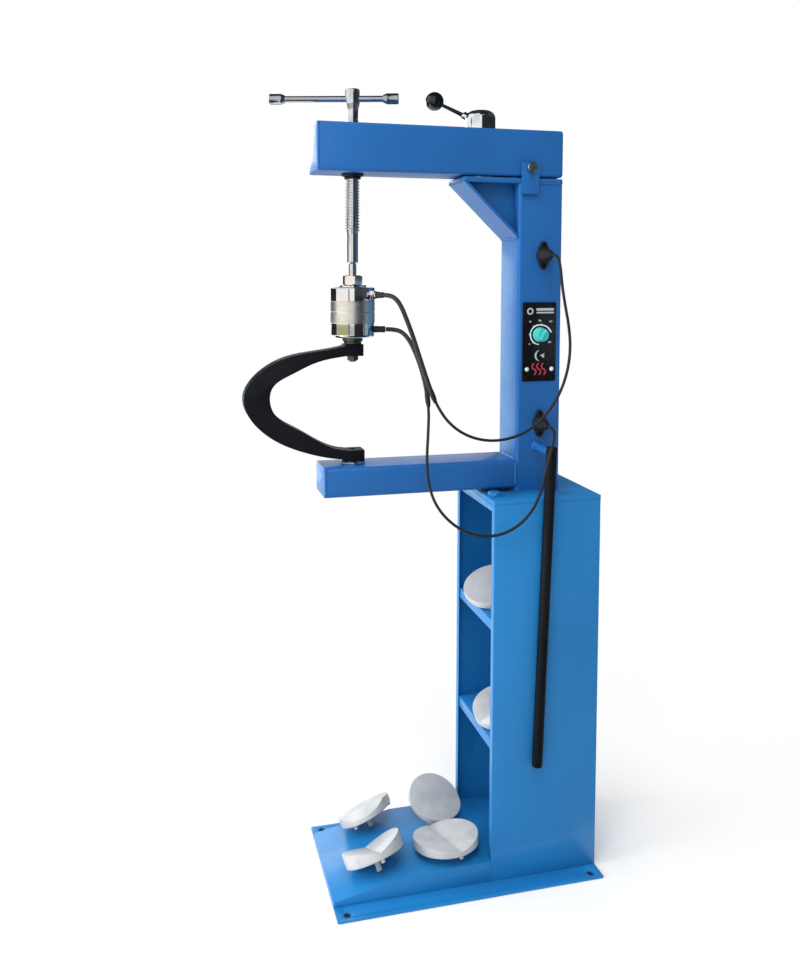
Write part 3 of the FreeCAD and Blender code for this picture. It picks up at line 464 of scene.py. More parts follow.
# %% Sweep along a path
def sweep(points, radii, sides=16):
    """A closed tube along points in metres, with a UV map in metres and turns."""
    bm = bmesh.new()
    uv = bm.loops.layers.uv.new("UVMap")
    column = bm.verts.layers.int.new("column")
    along = bm.verts.layers.float.new("along")
    points = [Vector(p) for p in points]
    heading = (points[1] - points[0]).normalized()
    turn = heading.to_track_quat("Z", "Y")
    ring = bmesh.ops.create_circle(bm, segments=sides, radius=1.0)["verts"]
    for number, vert in enumerate(ring):
        vert[column] = number
    edges = bm.edges[:]
    bmesh.ops.holes_fill(bm, edges=edges)
    place = Matrix.LocRotScale(points[0], turn, Vector.Fill(3, radii[0]))
    bmesh.ops.transform(bm, matrix=place, verts=ring)
    travel = 0.0
    for i, point in enumerate(points[1:], 1):
        after = points[min(i + 1, len(points) - 1)]
        ahead = (after - points[i - 1]).normalized()
        turn = heading.rotation_difference(ahead) @ turn
        heading = ahead
        travel += (point - points[i - 1]).length
        made = bmesh.ops.extrude_edge_only(bm, edges=edges)["geom"]
        ring = [g for g in made if isinstance(g, bmesh.types.BMVert)]
        edges = [g for g in made if isinstance(g, bmesh.types.BMEdge)
                 and all(v in ring for v in g.verts)]
        before = place
        place = Matrix.LocRotScale(point, turn, Vector.Fill(3, radii[i]))
        bmesh.ops.transform(bm, matrix=place @ before.inverted(), verts=ring)
        for vert in ring:
            vert[along] = travel
    bmesh.ops.holes_fill(bm, edges=edges)
    for face in bm.faces:
        columns = [loop.vert[column] for loop in face.loops]
        wraps = len(columns) == 4 and max(columns) - min(columns) > 1
        for loop in face.loops:
            number = loop.vert[column]
            number = sides if wraps and number == 0 else number
            loop[uv].uv = (loop.vert[along], number / sides)
    return bm


# %% [markdown]
# One call finishes any piece: it points the faces outwards, keeps the sharp edges sharp in
# the shading, adds the finish and hangs the piece on its body. Where a CAD shape is right as
# it is, a copy of it is used, with its loose triangles merged and its edges softened.

# %% Settle a piece on its body
def object_of(bm, name, material):
    mesh = bpy.data.meshes.new(name)
    bm.to_mesh(mesh)
    bm.free()
    mesh.materials.append(material)
    thing = bpy.data.objects.new(name, mesh)
    scene.collection.objects.link(thing)
    return thing


def settle(bm, name, body, material, slot, *nodes, crease=32):
    """A shape as a finished piece on its body, in place of the CAD nodes that it replaces."""
    bmesh.ops.recalc_face_normals(bm, faces=bm.faces)
    piece = object_of(bm, name, material)
    mesh = piece.data
    mesh.shade_smooth()
    mesh.set_sharp_from_angle(angle=math.radians(crease))
    if body:
        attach(piece, body)
    if nodes:
        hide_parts(*nodes)
    print(name, len(mesh.polygons), "faces")
    return piece


def copy_of(node, width, angle=30, segments=2):
    """A CAD piece as one merged shape with its sharp edges rounded."""
    bm = bmesh.new()
    bm.from_mesh(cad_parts[node].data)
    bmesh.ops.remove_doubles(bm, verts=bm.verts, dist=2e-6)
    bmesh.ops.dissolve_limit(bm, angle_limit=math.radians(0.5), verts=bm.verts, edges=bm.edges)
    return soften(bm, sharp_edges(bm, angle), width, segments)


print("sweep and settle ready")

# %% [markdown]
# The cords come first, because everything else has to leave them room. Each one is fixed at
# the head and at the column, hangs in a loop, and is its full length from end to end. The
# routes are the ones of the CAD model: control points of a smooth curve.

# %% Cord routes
SLEEVE = 0.0076
LEAD = 0.0048
UPPER_ROUTE = [(0.0521, -0.1413, 1.0095), (0.063, -0.1328, 1.0095), (0.0717, -0.1241, 1.0029),
               (0.0768, -0.1168, 0.9896), (0.0794, -0.1086, 0.9685), (0.0815, -0.0989, 0.942),
               (0.0842, -0.0899, 0.9125), (0.0866, -0.0805, 0.883), (0.088, -0.072, 0.8575),
               (0.0892, -0.0615, 0.832), (0.0908, -0.0435, 0.803), (0.0925, -0.0165, 0.7808),
               (0.0945, 0.0167, 0.7688), (0.0968, 0.052, 0.7676), (0.0994, 0.086, 0.777),
               (0.1024, 0.1153, 0.7965), (0.1053, 0.138, 0.8235), (0.108, 0.154, 0.855),
               (0.1104, 0.163, 0.889), (0.1124, 0.1653, 0.9242), (0.1138, 0.161, 0.9593),
               (0.1142, 0.154, 0.991), (0.1136, 0.1492, 1.018), (0.1128, 0.147, 1.038),
               (0.1102, 0.1462, 1.0555), (0.104, 0.1458, 1.0695), (0.092, 0.1455, 1.077),
               (0.078, 0.1455, 1.077)]
UPPER_CUTS = (5, 9, 12)
LOWER_ROUTE = [(0.0141, -0.1277, 0.951), (0.018, -0.1123, 0.951), (0.0265, -0.1005, 0.9455),
               (0.036, -0.0915, 0.9325), (0.0465, -0.0835, 0.911), (0.0555, -0.0763, 0.885),
               (0.0626, -0.07, 0.8544), (0.069, -0.0673, 0.8161), (0.074, -0.0703, 0.7775),
               (0.0786, -0.0738, 0.7389), (0.0833, -0.073, 0.7003), (0.0886, -0.0618, 0.6635),
               (0.0943, -0.0376, 0.6334), (0.1003, -0.0049, 0.6132), (0.1067, 0.0329, 0.608),
               (0.1128, 0.0693, 0.621), (0.1184, 0.0967, 0.6482), (0.1231, 0.1112, 0.6837),
               (0.125, 0.118, 0.717), (0.124, 0.1255, 0.745), (0.119, 0.1345, 0.767),
               (0.1085, 0.1403, 0.7805), (0.0925, 0.142, 0.785), (0.078, 0.142, 0.785)]
LOWER_CUTS = (5, 7, 13)


def lengths(route, cuts):
    """The route in pieces that meet in the middle of a run, where its curve touches the run."""
    pieces, start, first = [], [], 0
    for cut in cuts:
        middle = tuple((p + q) / 2 for p, q in zip(route[cut - 1], route[cut]))
        pieces.append(start + route[first:cut] + [middle])
        start, first = [middle], cut
    return pieces + [start + route[first:]]


def shape_of(curve):
    """A curve or a text as a shape. The curve itself is cleared away."""
    holder = bpy.data.objects.new(curve.name, curve)
    mesh = bpy.data.meshes.new_from_object(holder)
    bm = bmesh.new()
    bm.from_mesh(mesh)
    bpy.data.objects.remove(holder)
    bpy.data.curves.remove(curve)
    bpy.data.meshes.remove(mesh)
    return bm


def smooth_line(route, name):
    """Points along an open NURBS spline whose control points are the route."""
    curve = bpy.data.curves.new(name, "CURVE")
    curve.dimensions = "3D"
    curve.resolution_u = 8
    spline = curve.splines.new("NURBS")
    spline.points.add(len(route) - 1)
    for point, place in zip(spline.points, route):
        point.co = (*place, 1.0)
    spline.order_u = 3
    spline.use_endpoint_u = True
    bm = shape_of(curve)
    points = [v.co.copy() for v in bm.verts]
    bm.free()
    return points


print("routes of", len(UPPER_ROUTE), "and", len(LOWER_ROUTE), "points")

# %% [markdown]
# Near the head the cord runs in a braided heat sleeve, and a short shrunk collar ends it.
# From there to its plug it is a thin rubber lead. A real cord gives way all along. Here the
# loop and the rise to the plug stay with the column, and the sleeve, its collar and the
# stretch that goes down to the loop hang on no body.

# %% Cords
def free_cord(name, points, diameter, material, slot, bodies, nodes=()):
    """A mesh tube along a smooth line. Given one body it hangs on it; given two it hangs on none."""
    radii = [diameter / 2] * len(points)
    body = bodies if isinstance(bodies, str) else None
    piece = settle(sweep(points, radii), name, body, material, slot, *nodes, crease=80)
    if body is None:
        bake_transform(piece)
    return piece


def shrunk_collar(name, points):
    """The tapered end of the sleeve, where it grips the lead."""
    joint = points[-1]
    along = points[-1] - points[-2]
    bm = turned([(0, -11), (4.1, -11), (4.35, -9.5), (4.35, -3), (4.35, 3), (3.2, 10), (2.9, 12),
                 (0, 12)], joint / MM, along, 24)
    return settle(bm, name, None, PLASTIC, "black_plastic")


for side, route, cuts in (("upper", UPPER_ROUTE, UPPER_CUTS), ("lower", LOWER_ROUTE, LOWER_CUTS)):
    names = [side + part for part in ("_heat_sleeve", "_sleeve_end", "_cord_drop", "_cord")]
    top, end, drop, rest = [smooth_line(r, n) for r, n in zip(lengths(route, cuts), names)]
    swing = ("swing_arm", "stand")
    collar = shrunk_collar(side + "_collar", end)
    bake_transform(collar)
    free_cord(names[0], top, SLEEVE, BRAID, "braid_sleeve", ("head", "swing_arm"),
              [side + "_sleeve"])
    free_cord(names[1], end, SLEEVE, BRAID, "braid_sleeve", swing, ())
    free_cord(names[2], drop, LEAD, JACKET, "cord_jacket", swing)
    free_cord(names[3], rest, LEAD, JACKET, "cord_jacket", "stand", [side + "_lead"])

# %% [markdown]
# The arms and the column are drawn square tube. Such tube has generous round corners, and a
# plate is welded over each open end and ground flush. That leaves a soft rim and a hairline
# round the tube, so the plate is a piece of its own.

# %% Square tubes
CORNER = 6.0


def tube(low, high, along, rims=(0.4, 0.4)):
    """A tube's outside, with round corners along one axis and a soft rim at each end."""
    bm = block(low, high)
    long_edges = [e for e in bm.edges
                  if abs((e.verts[0].co - e.verts[1].co).normalized()[along]) > 0.9]
    soften(bm, long_edges, CORNER, 6)
    for level, rim in zip((low[along] * MM, high[along] * MM), rims):
        ends = [e for e in bm.edges if all(abs(v.co[along] - level) < 1e-6 for v in e.verts)]
        soften(bm, ends, rim, 3)
    return bm


arm_low, arm_high = extent("upper_arm")
cap_low, cap_high = extent("arm_caps")
SEAM = 0.25
settle(tube(arm_low, arm_high, 1), "swing_tube", "swing_arm", FRAME_BLUE, "blue_paint", "upper_arm")
front_plate = tube(cap_low, (arm_high.x, arm_low.y - SEAM, arm_high.z), 1, (2.4, 0.3))
back_plate = tube((arm_low.x, arm_high.y + SEAM, arm_low.z), cap_high, 1, (0.3, 3.4))
settle(together(front_plate, back_plate), "swing_tube_ends", "swing_arm", FRAME_BLUE, "blue_paint",
       "arm_caps")
settle(tube(*extent("column"), 2), "column_tube", "stand", FRAME_BLUE, "blue_paint", "column")
settle(tube(*extent("lower_arm"), 1), "lower_tube", "stand", FRAME_BLUE, "blue_paint", "lower_arm")
end_low, end_high = extent("lower_arm_cap")
settle(tube(end_low, (end_high.x, end_high.y - SEAM, end_high.z), 1, (1.2, 0.3)),
       "lower_tube_end", "stand", FRAME_BLUE, "blue_paint", "lower_arm_cap")

# %% [markdown]
# The cabinet, its lid, the shelves and the raised floor are folded sheet steel. A fold has a
# radius of about the sheet's thickness, and the paint gathers light along it. The CAD shapes
# are right, so copies of them are used and only their edges are rounded.

# %% Folded sheet and cut plate
SHEETS = ((CABINET_BLUE, "base_plate", "floor_plate", 0.8),
          (CABINET_BLUE, "platform", "raised_floor", 1.3),
          (CABINET_BLUE, "cabinet_shell", "cabinet_body", 0.9),
          (CABINET_BLUE, "cabinet_lid", "cabinet_top", 1.5),
          (CABINET_BLUE, "shelves", "folded_shelves", 0.9),
          (FRAME_BLUE, "pivot_table", "table_plate", 0.9),
          (FRAME_BLUE, "gusset_plate", "brace_plate", 0.9),
          (FRAME_BLUE, "gusset_webs", "brace_webs", 0.5),
          (FRAME_BLUE, "stop_ear", "stop_plate", 1.0),
          (FRAME_BLUE, "foot_flange", "foot_plate", 0.6))
for paint, node, name, width in SHEETS:
    settle(copy_of(node, width), name, "stand", paint, "blue_paint", node)

# %% [markdown]
# Where two plates meet, the welder leaves a rippled bead, and the paint goes over it. A bead
# is a sweep along the seam whose radius swells and shrinks by turns, half sunk in the corner.

# %% Weld beads
def weld(start, end, radius=2.4, pitch=3.2):
    """A rippled bead between two points in millimetres."""
    start, end = Vector(start) * MM, Vector(end) * MM
    count = 2 * max(2, round((end - start).length / (pitch * MM)))
    points = [start.lerp(end, i / count) for i in range(count + 1)]
    radii = [radius * MM * (0.78 if i % 2 else 1.0) for i in range(count + 1)]
    radii[0] = radii[-1] = radius * MM * 0.5
    return sweep(points, radii, 8)


col_low, col_high = extent("column")
foot_low, foot_high = extent("lower_arm")
lid_top = extent("cabinet_lid")[1].z
brace_low, brace_high = extent("gusset_plate")
side_x = col_high.x - CORNER
arm_x = foot_high.x - CORNER
front_y = col_low.y


def level_weld(half, z):
    """A bead across the column's front."""
    return weld((-half, front_y, z), (half, front_y, z))


def side_weld(x, z, radius=2.4):
    """A bead along one side of the column."""
    return weld((x, front_y + CORNER, z), (x, col_high.y - CORNER, z), radius)


seams = [level_weld(side_x, lid_top), side_weld(col_high.x, lid_top), side_weld(-col_high.x, lid_top),
         level_weld(arm_x, foot_high.z), level_weld(arm_x, foot_low.z)]
for side in (-1, 1):
    x = side * foot_high.x
    seams.append(weld((x, front_y, foot_low.z + CORNER), (x, front_y, foot_high.z - CORNER)))
    x = side * (brace_high.x - 2)
    seams.append(weld((x, front_y, brace_low.z), (x, front_y, brace_low.z + 8)))
    seams.append(side_weld(side * col_high.x, col_high.z, 1.8))
seams.append(level_weld(38, brace_low.z))
ear_low, ear_high = extent("stop_ear")
for y in (ear_low.y, ear_high.y):
    seams.append(weld((ear_low.x, y, ear_low.z + 3), (ear_low.x, y, col_high.z - 2), 1.8))
settle(together(*seams), "weld_beads", "stand", FRAME_BLUE, "blue_paint", crease=60)

# %% [markdown]
# Bolts are the small parts that tell the eye how big a machine is. A head is a hexagon whose
# corners are turned off at both ends, with a washer under it and the shank's end below. The
# two that hold the column's foot to the lid were painted over with it, and the plated one in
# the ear is the stop that the arm comes to.

# %% Bolts
def washer(radius, bore, thick, origin, axis):
    profile = [(bore, 0), (radius - 0.4, 0), (radius, 0.4), (radius, thick - 0.4),
               (radius - 0.4, thick), (bore, thick), (bore, 0)]
    return turned(profile, origin, axis, 40)


def shank(radius, length, origin, axis):
    return turned([(0, 0), (radius - 0.8, 0), (radius, 0.8), (radius, length), (0, length)],
                  origin, axis, 28)


bolt_low, bolt_high = extent("foot_bolts")
bolt_y = middle("foot_bolts").y
BOLT_REACH = 57.0
PIVOT_Y = 44.0


def foot_screw(x):
    """Washer and head on the lid, the shank through it and the nut below."""
    return [washer(11.5, 6.2, 1.2, (x, bolt_y, lid_top), UP),
            hexagon(19, bolt_high.z - lid_top - 1.2, (x, bolt_y, lid_top + 1.2), UP),
            shank(6, lid_top - bolt_low.z, (x, bolt_y, bolt_low.z), UP),
            hexagon(19, 10, (x, bolt_y, bolt_low.z + 3), UP)]


settle(together(*foot_screw(-BOLT_REACH), *foot_screw(BOLT_REACH)), "foot_screws", "stand", CABINET_BLUE,
       "blue_paint", "foot_bolts")

stop_low, stop_high = extent("stop_bolt")
stop = middle("stop_bolt")
settle(together(shank(5, ear_high.x - stop_low.x, (stop_low.x, stop.y, stop.z), OUT),
                hexagon(16, stop_high.x - ear_high.x, (ear_high.x, stop.y, stop.z), OUT)),
       "stop_screw", "stand", STEEL, "bright_steel", "stop_bolt")

stud_low, stud_high = extent("pivot_stud")
settle(together(hexagon(24, 10, (0, PIVOT_Y, stud_low.z), UP),
                shank(8, stud_high.z - stud_low.z - 9, (0, PIVOT_Y, stud_low.z + 9), UP)),
       "pivot_bolt", "stand", STEEL, "bright_steel", "pivot_stud")

# %% [markdown]
# The clamp lever locks the swinging arm. Its hub is a turned dome with a slanting boss, its
# rod tapers, and a polished ball sits on the end. Boss, rod and ball share one slanting
# axis, so each is spun about Z first and then laid on that axis.

# %% Clamp lever
BALL_RADIUS = 16.2
HUB_BASE = extent("lever_hub")[0].z
lever_root = Vector((0, PIVOT_Y, 1304.2))
ball_centre = Vector((-52, -22.7, 1348.7))
lever_run = ball_centre - lever_root
lever_axis = lever_run.normalized()

hub = turned([(0, HUB_BASE), (25.2, HUB_BASE), (26, HUB_BASE + 0.8)]
             + arc((12, HUB_BASE + 20), 14, 0, 90, 14) + [(0, HUB_BASE + 34.6)], (0, PIVOT_Y, 0))
boss = turned([(0, 8), (8.5, 8), (8.2, 12), (7, 33.5), (6.2, 35), (0, 35)], lever_root, lever_axis, 40)
settle(together(hub, boss), "clamp_hub", "clamp_lever", CHROME, "chrome_plate", "lever_hub")
rod_end = lever_run.length - 12
settle(turned([(0, 34), (4.2, 34), (3.6, 40), (2.8, rod_end), (0, rod_end)], lever_root, lever_axis, 32),
       "clamp_rod", "clamp_lever", BAR_ENAMEL, "bright_steel", "lever_rod")
ball = arc((0, 0), BALL_RADIUS, -63, 90, 24)
settle(turned([(0, ball[0][1])] + ball, ball_centre, lever_axis), "clamp_ball", "clamp_lever", BALL,
       "ball_plastic", "lever_ball")

# %% [markdown]
# The press screw has a trapezoidal thread that reaches from the nut almost to its top. A
# spin with a small rise at each step carries one tooth's section up the bar as a helix. The
# core, the flared head and the captive button below are one turned piece.

# %% Press screw
SCREW_Y = -182.0
THREAD_LOW, THREAD_HIGH = 1115.5, 1296.0
PITCH = 5.0
STEPS_A_TURN = 24


def thread(root, crest, low, high, pitch):
    """A helix of one tooth's section, with both ends closed."""
    turns = (high - low) / pitch
    steps = round(turns * STEPS_A_TURN)
    half_root, half_crest = pitch * 0.36, pitch * 0.18
    section = [(root - 0.4, -half_root), (crest, -half_crest), (crest, half_crest),
               (root - 0.4, half_root)]
    bm = bmesh.new()
    verts = [bm.verts.new((r * MM, 0, (low + z) * MM)) for r, z in section]
    edges = [bm.edges.new((a, b)) for a, b in zip(verts, verts[1:] + verts[:1])]
    made = bmesh.ops.spin(bm, geom=verts + edges, cent=(0, 0, 0), axis=UP,
                          dvec=(0, 0, (high - low) / steps * MM), angle=turns * math.tau, steps=steps)
    last = [g for g in made["geom_last"] if isinstance(g, bmesh.types.BMEdge)]
    bmesh.ops.holes_fill(bm, edges=edges + last)
    return bm


screw_low, screw_high = extent("lead_screw")
end = screw_high.z
core = turned([(0, screw_low.z), (8.4, screw_low.z), (9, 1027.2), (9, 1033), (6.5, 1033), (6.5, 1061),
               (9.3, 1064), (9.3, 1110), (9.3, THREAD_LOW - 2), (9.9, THREAD_LOW), (9.9, 1297),
               (9.2, 1301), (9.5, 1314), (10.2, 1320), (11.4, 1324.5), (12, 1328), (12, end - 2),
               (11.3, end - 0.6), (10, end), (0, end)])
helix = thread(9.9, 12.0, THREAD_LOW + 1, THREAD_HIGH, PITCH)
screw = together(core, helix)
bmesh.ops.translate(screw, vec=(0, SCREW_Y * MM, 0), verts=screw.verts)
settle(screw, "press_screw", "screw", STEEL, "bright_steel", "lead_screw")

# %% [markdown]
# The tommy bar slides through the screw's head, and a knurled stop on each end keeps it
# there. A straight knurl is a turned band on which every second row of points is drawn in.

# %% Tommy bar
TOMMY_TURN = math.radians(15.7)
TOMMY_Z = 1335.0
TOMMY_LONG = 139.0
TOMMY_SHORT = 77.0
tommy_axis = Vector((math.sin(TOMMY_TURN), math.cos(TOMMY_TURN), 0))
tommy_mid = Vector((0, SCREW_Y, TOMMY_Z))


def knurled(profile, low, high, depth, origin, axis, steps=60):
    """A turned piece whose band between two heights has fine straight grooves."""
    bm = turned(profile, steps=steps)
    for vert in bm.verts:
        number = round(math.atan2(vert.co.y, vert.co.x) / math.tau * steps)
        if low * MM < vert.co.z < high * MM and number % 2:
            flat = Vector((vert.co.x, vert.co.y, 0))
            vert.co -= flat.normalized() * depth * MM
    return stand(bm, origin, axis)


STOP_PROFILE = [(0, 0), (7.8, 0), (8.9, 1.1), (8.9, 2.2), (9, 2.6), (9, 18.4), (8.9, 18.8), (8.9, 20),
                (7.2, 24), (6.3, 26), (0, 26)]
BAR_IN_STOP = 14.0
bar_low, bar_high = BAR_IN_STOP - TOMMY_LONG, TOMMY_SHORT - BAR_IN_STOP
bar_profile = [(0, bar_low), (5.25, bar_low), (5.25, bar_high), (0, bar_high)]
# Painted reflection: the bar and its stops take a chrome whose colour is darkened for the dark room they
# mirror.
settle(turned(bar_profile, tommy_mid, tommy_axis, 40), "sliding_bar", "tommy", CHROME_DARKENED_AS_REFLECTION, "chrome_plate",
       "tommy_bar")
stops = [knurled(STOP_PROFILE, 2.4, 18.6, 0.45, tommy_mid - way * reach, way)
         for way, reach in ((tommy_axis, TOMMY_LONG), (-tommy_axis, TOMMY_SHORT))]
settle(together(*stops), "bar_stops", "tommy", CHROME_DARKENED_AS_REFLECTION, "chrome_plate", "tommy_caps")

# %% [markdown]
# A long bronze nut is pressed up through the arm until its flange meets the tube. Only the
# flange and the nose below it are seen, in the shade under the arm, and the bronze's colour is
# painted dark with that shade. Its top ends just above the arm.

# %% Screw nut
nut_low, nut_high = extent("screw_nut")
flange_r = nut_high.x
nut = [(12.05, nut_low.z), (12.9, nut_low.z), (14, nut_low.z + 1.1), (14, nut_low.z + 5),
       (flange_r - 0.7, nut_low.z + 5), (flange_r, nut_low.z + 5.7), (flange_r, arm_low.z - 0.4),
       (flange_r - 0.4, arm_low.z), (16, arm_low.z), (16, nut_high.z - 0.4), (15.6, nut_high.z),
       (12.6, nut_high.z), (12.05, nut_high.z - 0.5), (12.05, nut_low.z)]
settle(turned(nut, (0, SCREW_Y, 0)), "arm_nut", "swing_arm", SHADE_DARKENED_BRONZE, "bronze", "screw_nut")

# %% [markdown]
# The heated head is a stack of turned pieces: a chromed cup, two satin rings with a groove
# between them, and a chromed cup below with a rolled edge. Chrome shows the room, so the
# round edges matter more than its colour.

# %% Heated head
AXIS = (0, SCREW_Y, 0)
cup_low, cup_high = extent("head_top_cup")
RIM = cup_high.x
top_cup = ([(0, cup_high.z - 5), (RIM - 4, cup_high.z - 5), (RIM - 4, cup_low.z), (RIM - 0.3, cup_low.z),
            (RIM, cup_low.z + 0.3)] + arc((RIM - 2.6, cup_high.z - 2.6), 2.6, 0, 90, 6)
           + [(0, cup_high.z)])
settle(turned(top_cup, AXIS, steps=96), "upper_cup", "head", CHROME, "chrome_plate", "head_top_cup")


def ring_profile(low, high):
    """A ring with a shallow groove at each end and fine turning lines between."""
    lines = []
    z = low + 1.6
    while z < high - 1.6:
        lines += [(RIM - 0.05, z), (RIM, z + 0.4)]
        z += 0.8
    return ([(RIM - 6, low), (RIM - 1.1, low), (RIM - 0.9, low + 0.9), (RIM, low + 1.2)] + lines
            + [(RIM, high - 1.2), (RIM - 0.9, high - 0.9), (RIM - 1.1, high), (RIM - 6, high),
               (RIM - 6, low)])


for node, name in (("head_upper_ring", "upper_ring"), ("head_lower_ring", "lower_ring")):
    ring_low, ring_high = extent(node)
    settle(turned(ring_profile(ring_low.z, ring_high.z), AXIS, steps=96), name, "head", TURNED,
           "turned_aluminium", node, crease=50)

base_low, base_high = extent("head_bottom_cup")
base_rim = base_high.x
bottom_cup = ([(0, base_low.z), (base_rim - 6, base_low.z)]
              + arc((base_rim - 5, base_low.z + 5), 5, -90, 0, 8)
              + [(base_rim, base_high.z), (base_rim - 4, base_high.z), (base_rim - 4, base_low.z + 8),
                 (0, base_low.z + 8)])
settle(turned(bottom_cup, AXIS, steps=96), "base_cup", "head", CHROME, "chrome_plate",
       "head_bottom_cup")
neck_low, neck_high = extent("head_stud")
neck = [(0, neck_low.z), (5, neck_low.z), (6, neck_low.z + 1), (6, 926.5), (14.4, 926.5), (15, 927.1),
        (15, 930.6), (16.6, 931), (17.2, 931.6), (17.2, neck_high.z), (0, neck_high.z)]
settle(turned(neck, AXIS), "head_neck", "head", DULL_STEEL, "bright_steel", "head_stud")
nut_low, nut_high = extent("bow_nut")
settle(hexagon(17, nut_high.z - nut_low.z, (0, SCREW_Y, nut_low.z), UP), "lock_nut", "head",
       DULL_STEEL, "bright_steel", "bow_nut")

# %% [markdown]
# A hexagon collar ties the head to the screw but lets the screw turn in it. The upper cord
# leaves the head's side through a small hexagon gland, and the lower one through a plain
# rubber nose, so both outlets point the way the cord goes.

# %% Collar and cord outlets
collar_low, collar_high = extent("swivel_collar")
flange = [(6.6, collar_low.z), (23, collar_low.z), (23.5, collar_low.z + 0.6), (23.5, collar_low.z + 2.6),
          (22.6, collar_low.z + 3.6), (17.5, collar_low.z + 4), (6.6, collar_low.z + 4),
          (6.6, collar_low.z)]
hex_height = collar_high.z - collar_low.z - 3.6
settle(together(turned(flange, AXIS),
                hexagon(30, hex_height, (0, SCREW_Y, collar_low.z + 3.6), UP)),
       "hex_collar", "head", CHROME, "chrome_plate", "swivel_collar")

GLAND_TURN = math.radians(38)
NOSE_TURN = math.radians(75.5)


def outward(turn, reach, z):
    """A point at a reach from the head's axis, in a direction round it."""
    return Vector((reach * math.cos(turn), SCREW_Y + reach * math.sin(turn), z))


gland_z = UPPER_ROUTE[0][2] / MM
nose_z = LOWER_ROUTE[0][2] / MM
gland_axis, nose_axis = [outward(turn, 1, 0) - outward(turn, 0, 0) for turn in (GLAND_TURN, NOSE_TURN)]
settle(together(washer(7.6, 4, 1.6, outward(GLAND_TURN, RIM - 0.6, gland_z), gland_axis),
                hexagon(13, 11.5, outward(GLAND_TURN, RIM + 1, gland_z), gland_axis),
                turned([(3.9, 0), (5.6, 0), (5.4, 2.6), (3.9, 2.6), (3.9, 0)],
                       outward(GLAND_TURN, RIM + 11.9, gland_z), gland_axis, 32)),
       "cord_gland", "head", CHROME, "chrome_plate", "gland_nut")
nozzle = [(0, 0), (4.4, 0), (5.4, 1), (5.4, 3), (5, 3.6), (5, 5), (5.3, 5.6), (5.2, 7.4), (4.8, 8),
          (4.8, 9.4), (5, 10), (4.6, 14.5), (0, 14.5)]
nose = [(0, 0), (5.6, 0), (5.6, 6), (5.2, 6.6), (5.2, 8), (5.6, 8.6), (5.6, 11), (5.2, 11.6), (5.2, 13),
        (5.6, 13.6), (5.4, 18.6), (0, 19.4)]
settle(together(turned(nozzle, outward(GLAND_TURN, RIM + 14, gland_z), gland_axis, 40),
                turned(nose, outward(NOSE_TURN, RIM - 1, nose_z), nose_axis, 40)),
       "cord_outlets", "head", PLASTIC, "black_plastic", "cord_noses")

# %% [markdown]
# The bow is a thick forged strap, painted satin black, that carries a mould under the head
# and reaches round the tyre's wall. Its long edges are ground round. The pad below is a
# bright turned foot that slides on the lower arm.

# %% Bow and its foot
settle(copy_of("bow_arm", 2.2, 40, 3), "bow_strap", "bow", BLACK_ENAMEL, "black_paint", "bow_arm")
pad_low, pad_high = extent("bow_pad")
foot_radius = pad_high.x
FOOT_TOP = 728.0
foot = [(0, pad_low.z), (foot_radius - 1.2, pad_low.z), (foot_radius, pad_low.z + 1.2),
        (foot_radius, FOOT_TOP - 1.6), (foot_radius - 1.6, FOOT_TOP), (4, FOOT_TOP),
        (4, pad_high.z), (0, pad_high.z)]
settle(turned(foot, AXIS), "bow_foot", "bow", STEEL, "bright_steel", "bow_pad")

# %% [markdown]
# The control panel is a thin black plate held by four small screws. Text and marks on it are
# printed, so each mark is a very thin piece of ink just proud of the plate. They are drawn
# flat in the panel's own plane first, with the dial's centre as the origin.

# %% Panel plate and its screws
panel_low, panel_high = extent("control_panel")
knob_x = extent("dial_knob")[0].x
DIAL = Vector((panel_high.x, *middle("dial_knob").yz))
INK = 0.08
FACE = Matrix(((0, 0, 1), (1, 0, 0), (0, 1, 0))).to_4x4()


def on_panel(bm, spot=DIAL, turn=0.0):
    """Lay a flat drawing on the panel: its X runs to the back, its Y up and its Z out."""
    place = Matrix.Translation(spot * MM) @ FACE @ Matrix.Rotation(math.radians(turn), 4, "Z")
    bmesh.ops.transform(bm, matrix=place, verts=bm.verts)
    return bm


plate = block(panel_low, panel_high)
corners = [e for e in plate.edges if abs(e.verts[0].co.x - e.verts[1].co.x) > MM]
soften(plate, corners, 2.0, 5)
soften(plate, [e for e in plate.edges if all(abs(v.co.x - panel_high.x * MM) < 1e-6 for v in e.verts)],
       0.5, 2)
settle(plate, "panel_plate", "stand", PANEL_BLACK, "panel_face", "control_panel")

SCREW_RADIUS = 3.4
screw_low, screw_high = extent("panel_screws")
screws = []
for y in (screw_low.y + SCREW_RADIUS, screw_high.y - SCREW_RADIUS):
    for z in (screw_low.z + SCREW_RADIUS, screw_high.z - SCREW_RADIUS):
        spot = Vector((panel_high.x, y, z))
        dome = arc((0, -1.6), SCREW_RADIUS, 40, 90, 6)[1:]
        screws.append(turned([(0, 0), (3.3, 0), (SCREW_RADIUS, 0.3)] + dome, spot, OUT, 24))
        for turn in (0, 90):
            screws.append(on_panel(block((-2, -0.32, 1.4), (2, 0.32, 1.86)), spot, turn))
settle(together(*screws), "panel_fixings", "stand", BLACKED, "bright_steel", "panel_screws")

# %% [markdown]
# The scale round the dial is a white band that runs clockwise from the bottom and flares at
# its end, with five ticks. A band is one short edge that is spun round the dial's centre and
# then given the thickness of ink. The numbers are plain and only count degrees.

# %% Printed scale
def ink(bm):
    """Give a flat drawing the thickness of a coat of ink."""
    bmesh.ops.remove_doubles(bm, verts=bm.verts, dist=1e-7)
    made = bmesh.ops.extrude_face_region(bm, geom=bm.faces[:])["geom"]
    raised = [g for g in made if isinstance(g, bmesh.types.BMVert)]
    bmesh.ops.translate(bm, vec=(0, 0, INK * MM), verts=raised)
    return bm


